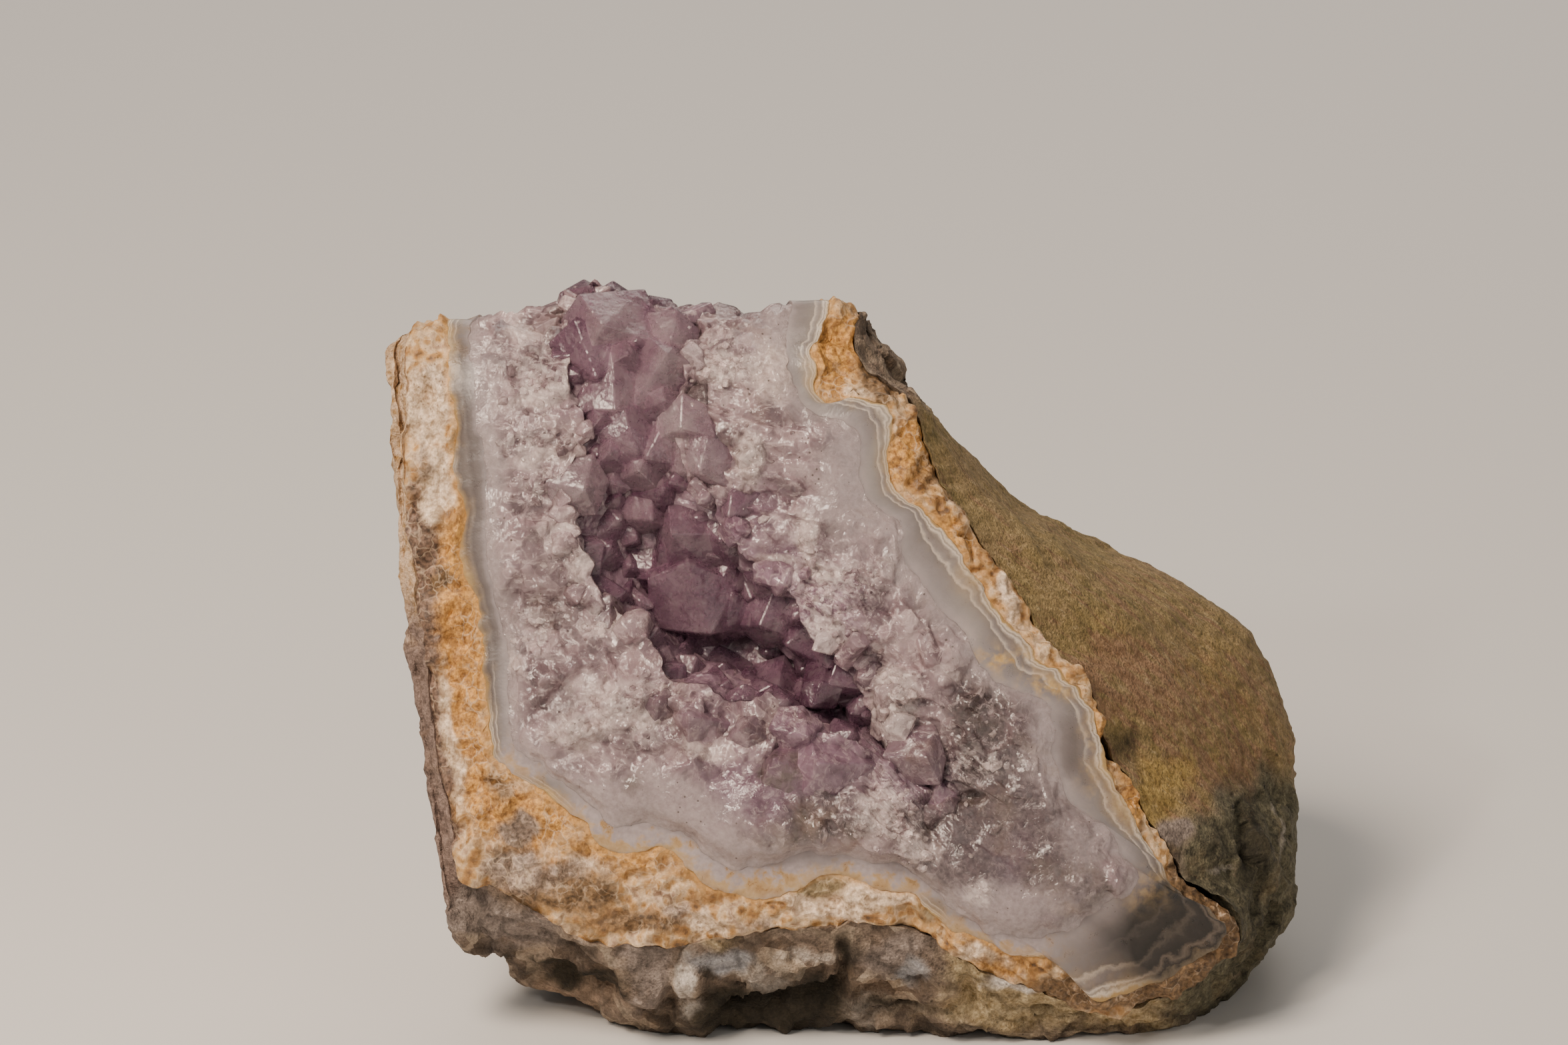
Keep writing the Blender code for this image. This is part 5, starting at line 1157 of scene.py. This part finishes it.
def dressQuartz(name, purpleFrom):
    # Milky quartz: lilac-grey clouds, half clear, with white veils, greyer and purple in patches; the grey is partly
    # painted shade. It sparkles where it is granular: glossy facets, and painted near-white glints. purpleFrom adds
    # purple all over.
    made, tree, shader, place = newMaterial(name, {
        "Roughness": 0.25, "Transmission Weight": 0.25, "IOR": 1.544, "Specular IOR Level": 0.9,
        "Subsurface Weight": 0.75, "Subsurface Scale": 0.0011, "Subsurface Radius": (1.0, 0.96, 1.0)})
    wide = noise(place, 5.0, 4, 0.6)
    mid = noise(place, 2.0, 4, 0.6, 0.4)
    fine = noise(place, 0.5, 3, 0.6)
    veil = noise(stretched(place, (3.6, 1.0, 1.0)), 0.85, 4, 0.72, 0.4)
    knots = noise(place, 1.1, 4, 0.72, 0.8)
    veil = plus(times(veil, mask(tree, "columnar")), times(knots, without(mask(tree, "columnar"))))
    cells = useGroup(grown, place, 480.0)
    tone = ramp(weighted((mid, 0.3), (mask(tree, "tone"), 0.2), (cells["Tone"], 0.15), (wide, 0.35)), (
        (0.28, (0.10, 0.064, 0.074)), (0.42, (0.21, 0.142, 0.16)), (0.54, (0.38, 0.27, 0.29)),
        (0.68, (0.60, 0.48, 0.485))))
    look = (times(mid, 0.8), fine, (0.3, 0.68), crust["looks"])
    # Grey and frosted patches: the quartz's own grey, darkened further as painted shade over the lower face and some
    # hollows.
    tone = patches(tone, *look, ("grey", "frosted"))
    purple = plus(plus(mask(tree, "purple"), times(mask(tree, "nearRim"), 0.4)), purpleFrom)
    amount = span(plus(purple, times(wide, 0.8)), 0.5, 1.5, 0.0, 0.85)
    tone = blend(amount, tone, ramp(mid, ((0.35, (0.15, 0.075, 0.12)), (0.65, (0.34, 0.215, 0.29)))))
    white = span(veil, 0.53, 0.68, 0.0, 0.65)
    seam = times(cells["Seam"], span(mask(tree, "grey"), 0.1, 0.6, 1.0, 0.0))
    white = larger(white, times(seam, span(mid, 0.42, 0.62, 0.0, 0.4)))
    white = times(white, 1 - purpleFrom)
    white = times(white, without(times(mask(tree, "frosted"), 0.7)))
    tone = blend(white, tone, (0.88, 0.71, 0.70))
    tone = patches(tone, *look, ("milky",))
    milkyEdge = ramp(fine, ((0.3, (0.38, 0.31, 0.315)), (0.65, (0.50, 0.42, 0.425))))
    tone = blend(times(mask(tree, "nearAgate"), 0.9), tone, milkyEdge)
    tone = patches(tone, *look, ("white",))
    rust = useGroup(iron, place, amount=0.34)["Mask"]
    tone = blend(times(rust, 0.25), tone, (0.50, 0.34, 0.19))
    dark = useGroup(specks, place, 1100.0, 0.40)["Mask"]
    # Real stains darken the quartz with the specks, and so does painted shade where the stain patches sit in hollows.
    stainAndShade = times(mask(tree, "stainAndShade"), span(mid, 0.42, 0.62))
    tone = blend(times(larger(dark, stainAndShade), 0.75), tone, (0.075, 0.055, 0.04))
    # Painted glints: near-white specks, picked by each grain's tone, where the quartz sparkles.
    light = times(mask(tree, "sparkly"), span(mask(tree, "sparkle"), 0.3, 1.0, 0.0, 0.6))
    tone = blend(light, tone, (0.98, 0.86, 0.83))
    gloss = plus(times(mask(tree, "sparkly"), 0.6), mid)
    height = useGroup(grain, place, 2400.0)["Height"]
    height = times(height, span(plus(mask(tree, "sparkly"), knots), 0.45, 1.1, 0.25, 1.6))
    small = useGroup(grown, place, 1300.0)["Height"]
    small = times(small, span(mask(tree, "sparkly"), 0.1, 0.8, 3.5, 10.0))
    facets = plus(times(cells["Height"], 5.0), small)
    calm = larger(mask(tree, "milky"), mask(tree, "nearAgate"))
    calm = larger(calm, times(mask(tree, "frosted"), 0.8))
    facets = times(facets, span(calm, 0.2, 0.9, 1.0, 0.2))
    finish(shader, tone, span(gloss, 0.35, 1.0, 0.26, 0.04), plus(height, facets), 0.8, 0.14)
    return made


crustPiece, crustGrid, crustNormal, crustZones = makeCrust()
milkyQuartz = dressQuartz("milkyQuartz", 0.0)
crustPiece.data.materials.append(milkyQuartz)
print("amethyst: quartz crust made")

# Lining of the hollow: short amethyst points grown side by side
lining = {
    "rows": 64, "thick": 1.4, "behindEvery": 4, "height": 1.0, "start": 1.4, "keepLow": 0.44, "keepHigh": 0.3,
    "around": 34, "lengthMm": 4.2, "grainAround": 150,
}


def hollowWall(rows):
    # From just under the rim down to the floor line, steep first and flat at the bottom. The upper half is shallower.
    share = np.linspace(0, 1, rows)[:, None]
    start = edges["rim"]
    grid = np.empty((rows, len(start), 3))
    for k in (0, 1):
        grid[..., k] = start[:, k] + (floorLine[:, k] - start[:, k]) * share**1.25
    keep = lining["keepLow"] + (lining["keepHigh"] - lining["keepLow"]) * np.clip((floorLine[:, 1] - 10) / 6, 0, 1)
    down = start[:, 2] + (floorLine[:, 2] - start[:, 2]) * keep
    grid[..., 2] = start[:, 2] + lining["start"] + (down - start[:, 2] - lining["start"]) * share**0.62
    return grid


def makeLining():
    # The wall pushed out by a field of points, and the same wall sunk into the crust behind it.
    grid = hollowWall(lining["rows"])
    normal = facing(grid)
    share = np.arange(grid.shape[1]) / grid.shape[1]
    run = lengthDown(grid)
    drift = layeredNoise(grid, 5.0, 301, 2) * 0.4
    around, grainAround = lining["around"], lining["grainAround"]
    big, tone = pointField(np.mod(share * around + drift, around), run / lining["lengthMm"] + drift, 302, around,
                           cap=0.6)
    small, sparkle = pointField(np.mod(share * grainAround + drift, grainAround), run, 303, grainAround)
    down = np.linspace(0, 1, len(grid))[:, None]
    push = (big * lining["height"] + small * 0.1) * np.clip(down * 6, 0.1, 1) * np.clip((1 - down) * 5, 0.3, 1)
    front = grid + normal * push[..., None]
    behind = (grid - normal * lining["thick"])[:: -lining["behindEvery"]]
    flat = np.zeros_like(push)
    extras = {**dict.fromkeys([*crust["zones"], "nearAgate"], flat), "tone": tone, "sparkle": sparkle,
              "nearRim": 0.6 + flat, "purple": 0.4 + 0.6 * down + flat}
    extras = {key: np.vstack([flat[: len(behind)], values]) for key, values in extras.items()}
    made = skin("amethyst_lining", np.vstack([behind, front]), None, None, extras)
    return made, grid, normal


liningPiece, wallGrid, wallNormal = makeLining()
liningPiece.data.materials.append(dressQuartz("purpleLining", 0.55))
print("amethyst: lining made")

# Single points: six-sided prisms with six unequal end faces
# name: tip (x, y, depth), where it points, width, length, purple. In the crust's lips, below 0 is white.
points = {
    "topBig": ((-23.8, 32.4, -0.4), (-0.05, -0.1, -1), 11.52, 9, 0.2),
    "topLeft": ((-26, 29.8, 0.3), (-0.15, -0.25, -0.95), 7.68, 8, 0.5),
    "topFace": ((-20.4, 33.2, 0.9), (0.1, 0.10, -0.97), 7.68, 8, 0.15),
    "topLow": ((-24.2, 27, -0.2), (-0.05, -0.15, -0.95), 10.08, 7, 0.25),
    "topBlock": ((-18.9, 29.6, -0.8), (-0.06, 0.05, -0.98), 10.8, 8, 0.1),
    "topBlockLow": ((-18.6, 25.4, -0.4), (-0.1, -0.10, -0.98), 8.88, 8, 0.2),
    "topRidge": ((-21.6, 29.8, 0), (0.1, -0.25, -0.95), 5.52, 7, 0.2),
    "topSlip": ((-21.4, 25.8, 0.4), (0.0, -0.2, -0.95), 6.48, 7, 0.25),
    "topCorner": ((-17.2, 32.4, 0.6), (-0.05, 0.1, -0.98), 6.48, 7, -0.05),
    "midDark": ((-24.6, 23.2, 0), (0.1, -0.1, -0.95), 7.68, 7, 0.35),
    "midWide": ((-21.4, 22.2, -0.2), (0.0, -0.15, -0.95), 8.4, 7, 0.27),
    "midPink": ((-18.4, 21.6, -0.4), (-0.15, -0.1, -0.95), 7.68, 6, 0.25),
    "midPale": ((-16.4, 23.6, -1.2), (-0.2, -0.1, -0.95), 6, 6, -0.05),
    "midLow": ((-22.8, 19.6, 0.5), (0.0, -0.2, -0.95), 7.92, 7, 0.35),
    "midLowRight": ((-19.4, 18.2, 0), (-0.05, -0.2, -0.95), 8.4, 7, 0.2),
    "leftLip": ((-26.7, 17.8, -0.8), (0.15, -0.1, -0.95), 6.48, 8, 0),
    "leftDark": ((-23.8, 16, 2.4), (0.15, 0.1, -0.95), 7.7, 7, 0.75),
    "grainy": ((-20.2, 15, 1.4), (0.0, -0.2, -0.95), 7.92, 8, 0.35),
    "rightPale": ((-14.3, 19.8, -1.8), (-0.15, -0.2, -0.95), 7.92, 9, -0.05),
    "rightLilac": ((-10.6, 15.6, -1.6), (-0.2, -0.25, -0.92), 8.14, 8, 0.3),
    "bright": ((-16.4, 13.2, 0.2), (-0.22, -0.05, -0.97), 9.5, 11, 0.5),
    "brightSide": ((-13, 11.6, 1), (-0.3, -0.3, -0.9), 7.0, 9, 0.5),
    "deepFace": ((-23, 12.6, 5), (0.1, 0.1, -0.98), 8.14, 7, 0.55),
    "deepShade": ((-24, 9.8, 6), (0.3, 0.1, -0.92), 7.04, 7, 0.6),
    "deepProp": ((-20.2, 9.4, 4.6), (0.15, -0.1, -0.97), 7.7, 8, 0.65),
    "deepLow": ((-20, 5.6, 6), (0.25, -0.1, -0.93), 6.6, 8, 0.6),
    "great": ((-15.4, 3.8, 2), (0.02, -0.60, -0.80), 9.68, 15, 0.55),
    "greatTop": ((-16.8, 8.6, 2.8), (-0.05, -0.30, -0.95), 9.24, 10, 0.6),
    "greatSide": ((-12.2, 6.8, 2.6), (-0.15, -0.40, -0.9), 7.7, 10, 0.7),
    "greatLow": ((-11.4, 3.6, 3.6), (-0.1, -0.5, -0.85), 6.16, 9, 0.7),
    "leftBlade": ((-19.4, 5.4, 4), (0.66, -0.55, -0.50), 2.2, 8, 0.15),
    "blockUpper": ((-8, 6.8, 0.6), (-0.30, -0.35, -0.89), 8.36, 9, 0.45),
    "blockLower": ((-8, 3.6, 2), (-0.25, -0.45, -0.86), 7.48, 9, 0.65),
    "wallPink": ((-4.8, 1.6, 1.6), (-0.4, -0.4, -0.82), 6.16, 8, 0.7),
    "wallPinkUp": ((-5.6, 4.6, 0.2), (-0.4, -0.4, -0.82), 5.5, 8, 0.5),
    "prism": ((-2.8, -4.2, 0.6), (-0.12, -0.70, -0.70), 4.4, 9, 0.6),
    "prismSide": ((-0.6, -2.6, 0.2), (-0.3, -0.45, -0.84), 5.6, 8, 0.55),
    "darkLump": ((1.8, -5.6, 0.8), (-0.3, -0.3, -0.9), 4.6, 6, 0.7),
    "recessLeft": ((-16.2, 0.8, 4.4), (0.1, 0.2, -0.97), 7.7, 6, 0.45),
    "recess": ((-12, -0.8, 4.6), (0.0, 0.25, -0.96), 8.36, 6, 0.45),
    "recessRight": ((-7.8, -1, 3.8), (-0.1, 0.3, -0.95), 7.26, 6, 0.45),
    "recessEnd": ((-4.4, -2.8, 2.8), (-0.1, 0.3, -0.95), 6.16, 6, 0.5),
    "recessUp": ((-13.6, 2.6, 5.6), (0.0, 0.0, -1), 7.7, 6, 0.5),
}
lips = {
    "whiteChip": ((4.3, -1.2, -1.2), (0.1, 0.85, -0.5), 3.4, 6.5, -0.3),
    "whiteChipLow": ((4.9, -4.4, -1.9), (0.05, 0.6, -0.8), 3.8, 5, -0.3),
    "whiteTop": ((-9.4, 21.8, -1.2), (0.1, 0.7, -0.7), 3.2, 5.5, -0.5),
    "paleLens": ((-29.4, -1.0, -0.7), (0.1, 0.1, -1), 3.8, 3, -0.35),
    "glintChip": ((-27.0, -6.4, -0.8), (0.1, 0.2, -0.95), 3.4, 3, -0.4),
    "lipLeft": ((-14.4, -4.6, -3.2), (0.05, 0.25, -0.95), 7, 8, 0.25),
    "lipLeftLow": ((-18, -3, -2), (0.1, 0.3, -0.92), 4.6, 7, 0.2),
    "lipMiddle": ((-8.4, -5.4, -3.3), (0.05, 0.2, -0.95), 8.6, 9, 0.45),
    "lipFacet": ((-4.6, -6, -3), (0.2, 0.1, -0.95), 5.6, 8, 0.6),
    "lipGreat": ((-1.4, -9.2, -3.7), (0.05, 0.15, -0.98), 10, 10, 0.27),
    "lipGreatSide": ((-6.4, -10, -3.6), (-0.1, 0.15, -0.97), 7.2, 9, 0.45),
    "lipRight": ((6.4, -8.6, -3), (-0.15, 0.15, -0.95), 6.6, 7, 0.2),
    "cornerLow": ((8.4, -11.6, -0.6), (-0.3, 0.5, -0.8), 4.6, 6, 0.2),
    "rimLeft": ((-20.6, 0.4, -0.4), (0.4, 0.0, -0.9), 5, 7, 0.1),
    "rimLeftUp": ((-23, 4.6, 0), (0.4, -0.2, -0.9), 5, 7, 0.05),
}
pointLooks = {
    "slope": (0.65, 1.05), "uneven": 0.2,
    "main": {"satelliteSeed": 12, "satelliteFrom": 4.0, "seed": 3},
    "fill": {"tries": 1600, "width": (3.6, 7.0), "apart": 0.5, "placeSeed": 7, "seed": 5},
    "rim": {"count": 70, "width": (1.8, 4.0), "placeSeed": 8, "seed": 6},
    "grains": {"count": 5200, "width": (0.35, 1.3), "placeSeed": 9, "seed": 10},
}
sides, corners = 6, 13  # of one crystal: a base ring, a shoulder ring and the peak


def makePoints(name, tips, ways, widths, lengths, extras, seed, flatten=(1.0, 1.0), soften=0.1):
    # Every crystal is worked out at once: a six-cornered base ring, a shoulder ring at uneven heights, and a peak
    # a little off the axis. Arrays hold all crystals, and a turned frame carries each one to its place.
    rng = np.random.default_rng(seed)
    n = len(tips)
    ways = unit(ways)
    side = unit(np.cross(ways, np.where(np.abs(ways[:, 1:2]) < 0.9, (0.0, 1.0, 0.0), (1.0, 0.0, 0.0))))
    other = np.cross(ways, side)
    ring = np.arange(sides)
    turn = rng.uniform(0, math.pi / 3, (n, 1)) + ring * math.pi / 3 + rng.uniform(-0.2, 0.2, (n, sides))
    radius = widths[:, None] / 2 * (1 + rng.uniform(-0.18, 0.18, (n, sides)))
    x, y = radius * np.cos(turn), radius * np.sin(turn) * rng.uniform(*flatten, (n, 1))
    rise = widths[:, None] / 2 * rng.uniform(*pointLooks["slope"], (n, 1))
    odd = np.where(ring % 2, 1, -1) * rng.uniform(0.4, 1, (n, 1))
    drop = rise * (1 + pointLooks["uneven"] * odd + rng.uniform(-0.22, 0.22, (n, sides)))
    local = np.zeros((n, corners, 3))
    local[:, :sides] = np.stack([x * 0.92, y * 0.92, np.broadcast_to(-lengths[:, None], x.shape)], axis=-1)
    local[:, sides:-1] = np.stack([x, y, -drop], axis=-1)
    local[:, -1, :2] = rng.uniform(-0.22, 0.22, (n, 2)) * widths[:, None]
    spots = tips[:, None] + local @ np.stack([side, other, ways], axis=1)
    after = (ring + 1) % sides
    offset = np.arange(n)[:, None, None] * corners
    walls = np.stack([ring, after, after + sides, ring + sides], axis=1) + offset
    ends = np.stack([ring + sides, after + sides, np.full(sides, corners - 1)], axis=1) + offset
    bases = ring[::-1] + offset[:, 0]
    faces = [face for kind in (walls.reshape(-1, 4), ends.reshape(-1, 3), bases) for face in kind.tolist()]
    mesh = bpy.data.meshes.new(name)
    mesh.from_pydata(toWorld(spots).reshape(-1, 3), [], faces)
    faceOutwards(mesh)
    extras = {"tone": rng.uniform(0, 1, n), "sparkle": rng.uniform(0, 1, n), **extras}
    extras = {key: np.repeat(values, corners) for key, values in extras.items()}
    extras["reach"] = np.tile(np.repeat((0.0, 0.35, 1.0), (sides, sides, 1)), n)  # base, shoulder, peak
    for key, values in extras.items():
        mesh.attributes.new(key, "FLOAT", "POINT").data.foreach_set("value", values.astype(np.float32))
    made = addObject(name, mesh)
    if soften:
        bevel = made.modifiers.new("softEdges", "BEVEL")
        bevel.width, bevel.segments = soften * 0.001, 1
        bevel.limit_method, bevel.angle_limit = "ANGLE", math.radians(20)
    return made


def columnsOf(rows):
    # The table of named points as arrays: tips, ways, widths, lengths and purples.
    return [np.array([row[k] for row in rows.values()], float) for k in range(5)]


def mainPoints():
    # Every named point, and a lower one grown beside each wide one, nearly parallel.
    kind = pointLooks["main"]
    tips, ways, widths, lengths, purples = columnsOf(points)
    ways = unit(ways)
    rng = np.random.default_rng(kind["satelliteSeed"])
    parent = np.flatnonzero(widths > kind["satelliteFrom"])
    n = len(parent)
    outwards = unit(np.cross(ways[parent], rng.normal(0, 1, (n, 3))))
    share = rng.uniform(0.5, 0.85, n)
    spread = (widths[parent] * rng.uniform(0.3, 0.5, n))[:, None]
    sink = (widths[parent] * rng.uniform(0.2, 0.4, n))[:, None]
    tips = np.vstack([tips, tips[parent] + outwards * spread - ways[parent] * sink])
    ways = np.vstack([ways, ways[parent] + rng.normal(0, 0.07, (n, 3))])
    widths, lengths = np.append(widths, widths[parent] * share), np.append(lengths, lengths[parent] * 0.7)
    purples = np.append(purples, purples[parent] + rng.normal(0, 0.12, n))
    return makePoints("amethyst_points_large", tips, ways, widths, lengths, {"purple": purples}, kind["seed"])


def fillPoints():
    # Points packed over the lining: random places of its wall, each at least a share of its width from the others.
    kind = pointLooks["fill"]
    rng = np.random.default_rng(kind["placeSeed"])
    row = (len(wallGrid) * rng.uniform(0.06, 0.99, kind["tries"])).astype(int)
    column = rng.integers(0, wallGrid.shape[1], kind["tries"])
    width = rng.uniform(*kind["width"], kind["tries"])
    place = wallGrid[row, column]
    apart = np.linalg.norm(place[:, None] - place[None], axis=2)
    close = apart < kind["apart"] * 0.5 * (width[:, None] + width[None])
    kept = np.zeros(kind["tries"], bool)
    for k in range(kind["tries"]):
        kept[k] = not np.any(close[k, :k] & kept[:k])
    row, column, width, place = row[kept], column[kept], width[kept], place[kept]
    way = unit(wallNormal[row, column] + rng.normal(0, 0.16, (len(row), 3)) + (0, 0, -0.6))
    tip = place + way * (0.9 + width * 0.2)[:, None]
    purple = 0.25 + 0.4 * np.clip(place[:, 2] / 9, 0, 1) + 0.25 * rng.random(len(row))
    return makePoints("amethyst_points_small", tip, way, width, width * 1.7, {"purple": purple}, kind["seed"])


def crustExtras(row, column):
    # What the crust's own material reads, at chosen places of the crust.
    return {key: values[row, column] for key, values in crustZones.items()}


def rimPoints():
    # Points round the rim, where the crust turns into the hollow: they lean in over it.
    kind = pointLooks["rim"]
    rng = np.random.default_rng(kind["placeSeed"])
    n = kind["count"]
    row = len(crustGrid) - 1 - (rng.random(n) ** 1.6 * 22).astype(int)
    column = rng.integers(0, crustGrid.shape[1], n)
    inward = unit(crustGrid[-1, column] - crustGrid[-8, column])
    way = unit(crustNormal[row, column] + inward * rng.uniform(0.2, 0.9, (n, 1)) + rng.normal(0, 0.2, (n, 3)))
    width = rng.uniform(*kind["width"], n)
    spot = crustGrid[row, column]
    clear = (spot[:, 1] > -1.5) | (spot[:, 0] > 6)  # the big lip points stand below
    row, column, spot, way, width = row[clear], column[clear], spot[clear], way[clear], width[clear]
    tip = spot + way * (width * 0.28)[:, None]
    tips, ways, widths, lengths, purples = columnsOf(lips)
    away = np.linalg.norm(crustGrid[None, ..., :2] - tips[:, None, None, :2], axis=3).reshape(len(lips), -1)
    nearRow, nearColumn = np.unravel_index(np.argmin(away, axis=1), crustGrid.shape[:2])
    extras = crustExtras(np.concatenate([row, nearRow]), np.concatenate([column, nearColumn]))
    first = len(row)
    for key in ("milky", "sparkly", "nearAgate", "grey"):
        extras[key][first:] *= 0.3
    extras["purple"][first:] += np.maximum(purples, 0)
    extras["white"][first:] = np.maximum(-purples, 0)
    extras["frosted"][first:] = 0.6 * (purples >= 0)
    extras["sparkly"][first:] = 1.0 * (purples < 0)
    return makePoints("quartz_points_rim", np.vstack([tip, tips]), np.vstack([way, ways]), np.append(width, widths),
                      np.append(width * 1.8, lengths), extras, kind["seed"])


def grainPoints():
    # Small glassy grains of quartz half sunk in the crust, crowded where it sparkles.
    kind = pointLooks["grains"]
    rng = np.random.default_rng(kind["placeSeed"])
    n = kind["count"]
    row = rng.integers(16, len(crustGrid) - 3, n)
    column = rng.integers(0, crustGrid.shape[1], n)
    keep = rng.random(n) < 0.04 + crustZones["sparkly"][row, column] - 0.5 * crustZones["milky"][row, column]
    keep &= crustGrid[row, column, 1] < 34
    row, column = row[keep], column[keep]
    n = len(row)
    way = unit(crustNormal[row, column] + rng.normal(0, 0.5, (n, 3)))
    width = kind["width"][0] + (kind["width"][1] - kind["width"][0]) * rng.random(n) ** 2
    tip = crustGrid[row, column] + way * (width * 0.25)[:, None]
    extras = crustExtras(row, column)
    extras["white"] = np.maximum(extras["white"], 0.6 * (rng.random(n) > 0.8))
    return makePoints("quartz_grains", tip, way, width, width * 1.2, extras, kind["seed"], (0.6, 1.0), soften=0)


def dressPoints():
    # Amethyst: clear enough to look into, mauve in clouds with pale wisps and a frosted skin.
    made, tree, shader, place = newMaterial("amethystPoint", {
        "Roughness": 0.2, "Transmission Weight": 0.6, "IOR": 1.544, "Specular IOR Level": 0.8,
        "Subsurface Weight": 0.8, "Subsurface Scale": 0.0012, "Subsurface Radius": (1.0, 0.94, 1.0)})
    cloud = noise(place, 3.6, 3, 0.6, 0.4)
    wisp = noise(place, 1.3, 4, 0.68, 0.8)
    fine = noise(place, 0.5, 3, 0.6)
    zones = [mask(tree, name) for name in ("purple", "tone", "reach")]
    strength = weighted((cloud, 1.1), *zip(zones, (0.9, 0.2, -0.3)))
    tone = ramp(span(strength, 0.1, 1.3), (
        (0.0, (0.55, 0.44, 0.47)), (0.3, (0.42, 0.295, 0.35)), (0.6, (0.29, 0.165, 0.235)),
        (0.85, (0.19, 0.09, 0.15)), (1.0, (0.12, 0.05, 0.09))))
    tone = blend(span(wisp, 0.52, 0.7, 0.0, 0.35), tone, (0.58, 0.46, 0.50))
    tone = blend(span(fine, 0.58, 0.72, 0.0, 0.2), tone, (0.70, 0.59, 0.60))
    dark = useGroup(specks, place, 500.0, 0.12)["Mask"]
    tone = blend(times(dark, 0.6), tone, (0.12, 0.06, 0.05))
    height = plus(useGroup(grain, place, 1600.0)["Height"], times(cloud, 6.0))
    chips = useGroup(grown, place, 900.0)["Height"]
    plates = useGroup(grown, place, 340.0)["Height"]
    broken = weighted((chips, 1.4), (plates, 3.2))
    finish(shader, tone, span(wisp, 0.35, 0.65, 0.18, 0.38), plus(height, broken), 0.5, 0.14)
    absorb = add(tree, "ShaderNodeVolumeAbsorption", {"Color": (0.85, 0.64, 0.79, 1), "Density": 50.0})
    fill(tree.nodes["Material Output"].inputs["Volume"], absorb.outputs["Volume"])
    return made


pointMaterial = dressPoints()
bigPoints, smallPoints, edgePoints, grainPiece = mainPoints(), fillPoints(), rimPoints(), grainPoints()
for piece in (bigPoints, smallPoints):
    piece.data.materials.append(pointMaterial)
for piece in (edgePoints, grainPiece):
    piece.data.materials.append(milkyQuartz)
print("amethyst: points made")

# What stands for which CAD solid
pieces = {
    "host_rock": (rockPiece,), "stained_rind": (rindPiece,), "agate_band": (agatePiece,),
    "amethyst_crust": (crustPiece, grainPiece, liningPiece, bigPoints, smallPoints, edgePoints),
}
for node, group in pieces.items():
    for piece in group:
        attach(piece, "root")
        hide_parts(node)

# Floor, light and camera
studio = {
    "floorMm": 3000, "floorTones": ((0.72, 0.71, 0.69), (0.66, 0.65, 0.63)),
    "background": (0.86, 0.82, 0.78), "backgroundPower": 0.2,
    "lights": {  # name: place, what it points at, size, power, tone
        "keyLight": ((-0.20, -0.20, 0.40), (-0.01, 0, 0.04), 0.19, 2.75, (1.0, 0.82, 0.66)),
        "sparkLight": ((-0.32, -0.45, 0.42), (-0.01, 0, 0.04), 0.05, 0.8, (1.0, 0.90, 0.80)),
        "fillLight": ((0.50, -0.55, 0.35), (0, 0, 0.03), 0.6, 1.0, (1.0, 0.90, 0.80)),
        "backLight": ((0.10, 0.55, 0.50), (0, 0, 0.03), 0.5, 2.0, (1.0, 0.90, 0.80)),
    },
    "camera": {"aimMm": (-6.18, 14.21, 0.0), "away": 1.6, "lensMm": 372, "sensorMm": 36},
}


def makeFloor():
    # A flat square of pale paper.
    half = studio["floorMm"] * 0.0005
    mesh = bpy.data.meshes.new("studio_floor")
    mesh.from_pydata([(-half, -half, 0), (half, -half, 0), (half, half, 0), (-half, half, 0)], [], [(0, 1, 2, 3)])
    paper, _, shader, place = newMaterial("palePaper", {"Roughness": 0.8})
    clouds = span(noise(place, 400.0, 2), 0.3, 0.7, 0.0, 0.15)
    fill(shader.inputs["Base Color"], blend(clouds, *studio["floorTones"]))
    mesh.materials.append(paper)
    return addObject("studio_floor", mesh)


def makeLight(name, spot, target, size, power, tone):
    # A square lamp, turned to its target.
    lamp = bpy.data.lights.new(name, "AREA")
    lamp.size, lamp.energy, lamp.color = size, power, tone
    made = addObject(name, lamp)
    made.location = spot
    made.rotation_euler = (Vector(target) - Vector(spot)).to_track_quat("-Z", "Y").to_euler()


def makeCamera():
    # Looks straight at the broken face, as the photograph does: down by the angle that the face leans back.
    view = studio["camera"]
    aim = Vector(toWorld(np.array(view["aimMm"])))
    lean = math.radians(face["leanDeg"])
    lens = bpy.data.cameras.new("photoView")
    lens.lens, lens.sensor_width = view["lensMm"], view["sensorMm"]
    made = addObject("photoView", lens)
    made.location = aim - Vector((0, math.cos(lean), -math.sin(lean))) * view["away"]
    made.rotation_euler = (math.pi / 2 - lean, 0, 0)
    bpy.context.scene.camera = made


makeFloor()
for name, light in studio["lights"].items():
    makeLight(name, *light)
world = bpy.data.worlds.new("softStudio")
world.use_nodes = True
sky = world.node_tree.nodes["Background"]
fill(sky.inputs["Color"], studio["background"])
fill(sky.inputs["Strength"], studio["backgroundPower"])
bpy.context.scene.world = world
makeCamera()
print("amethyst: floor, light and camera set")
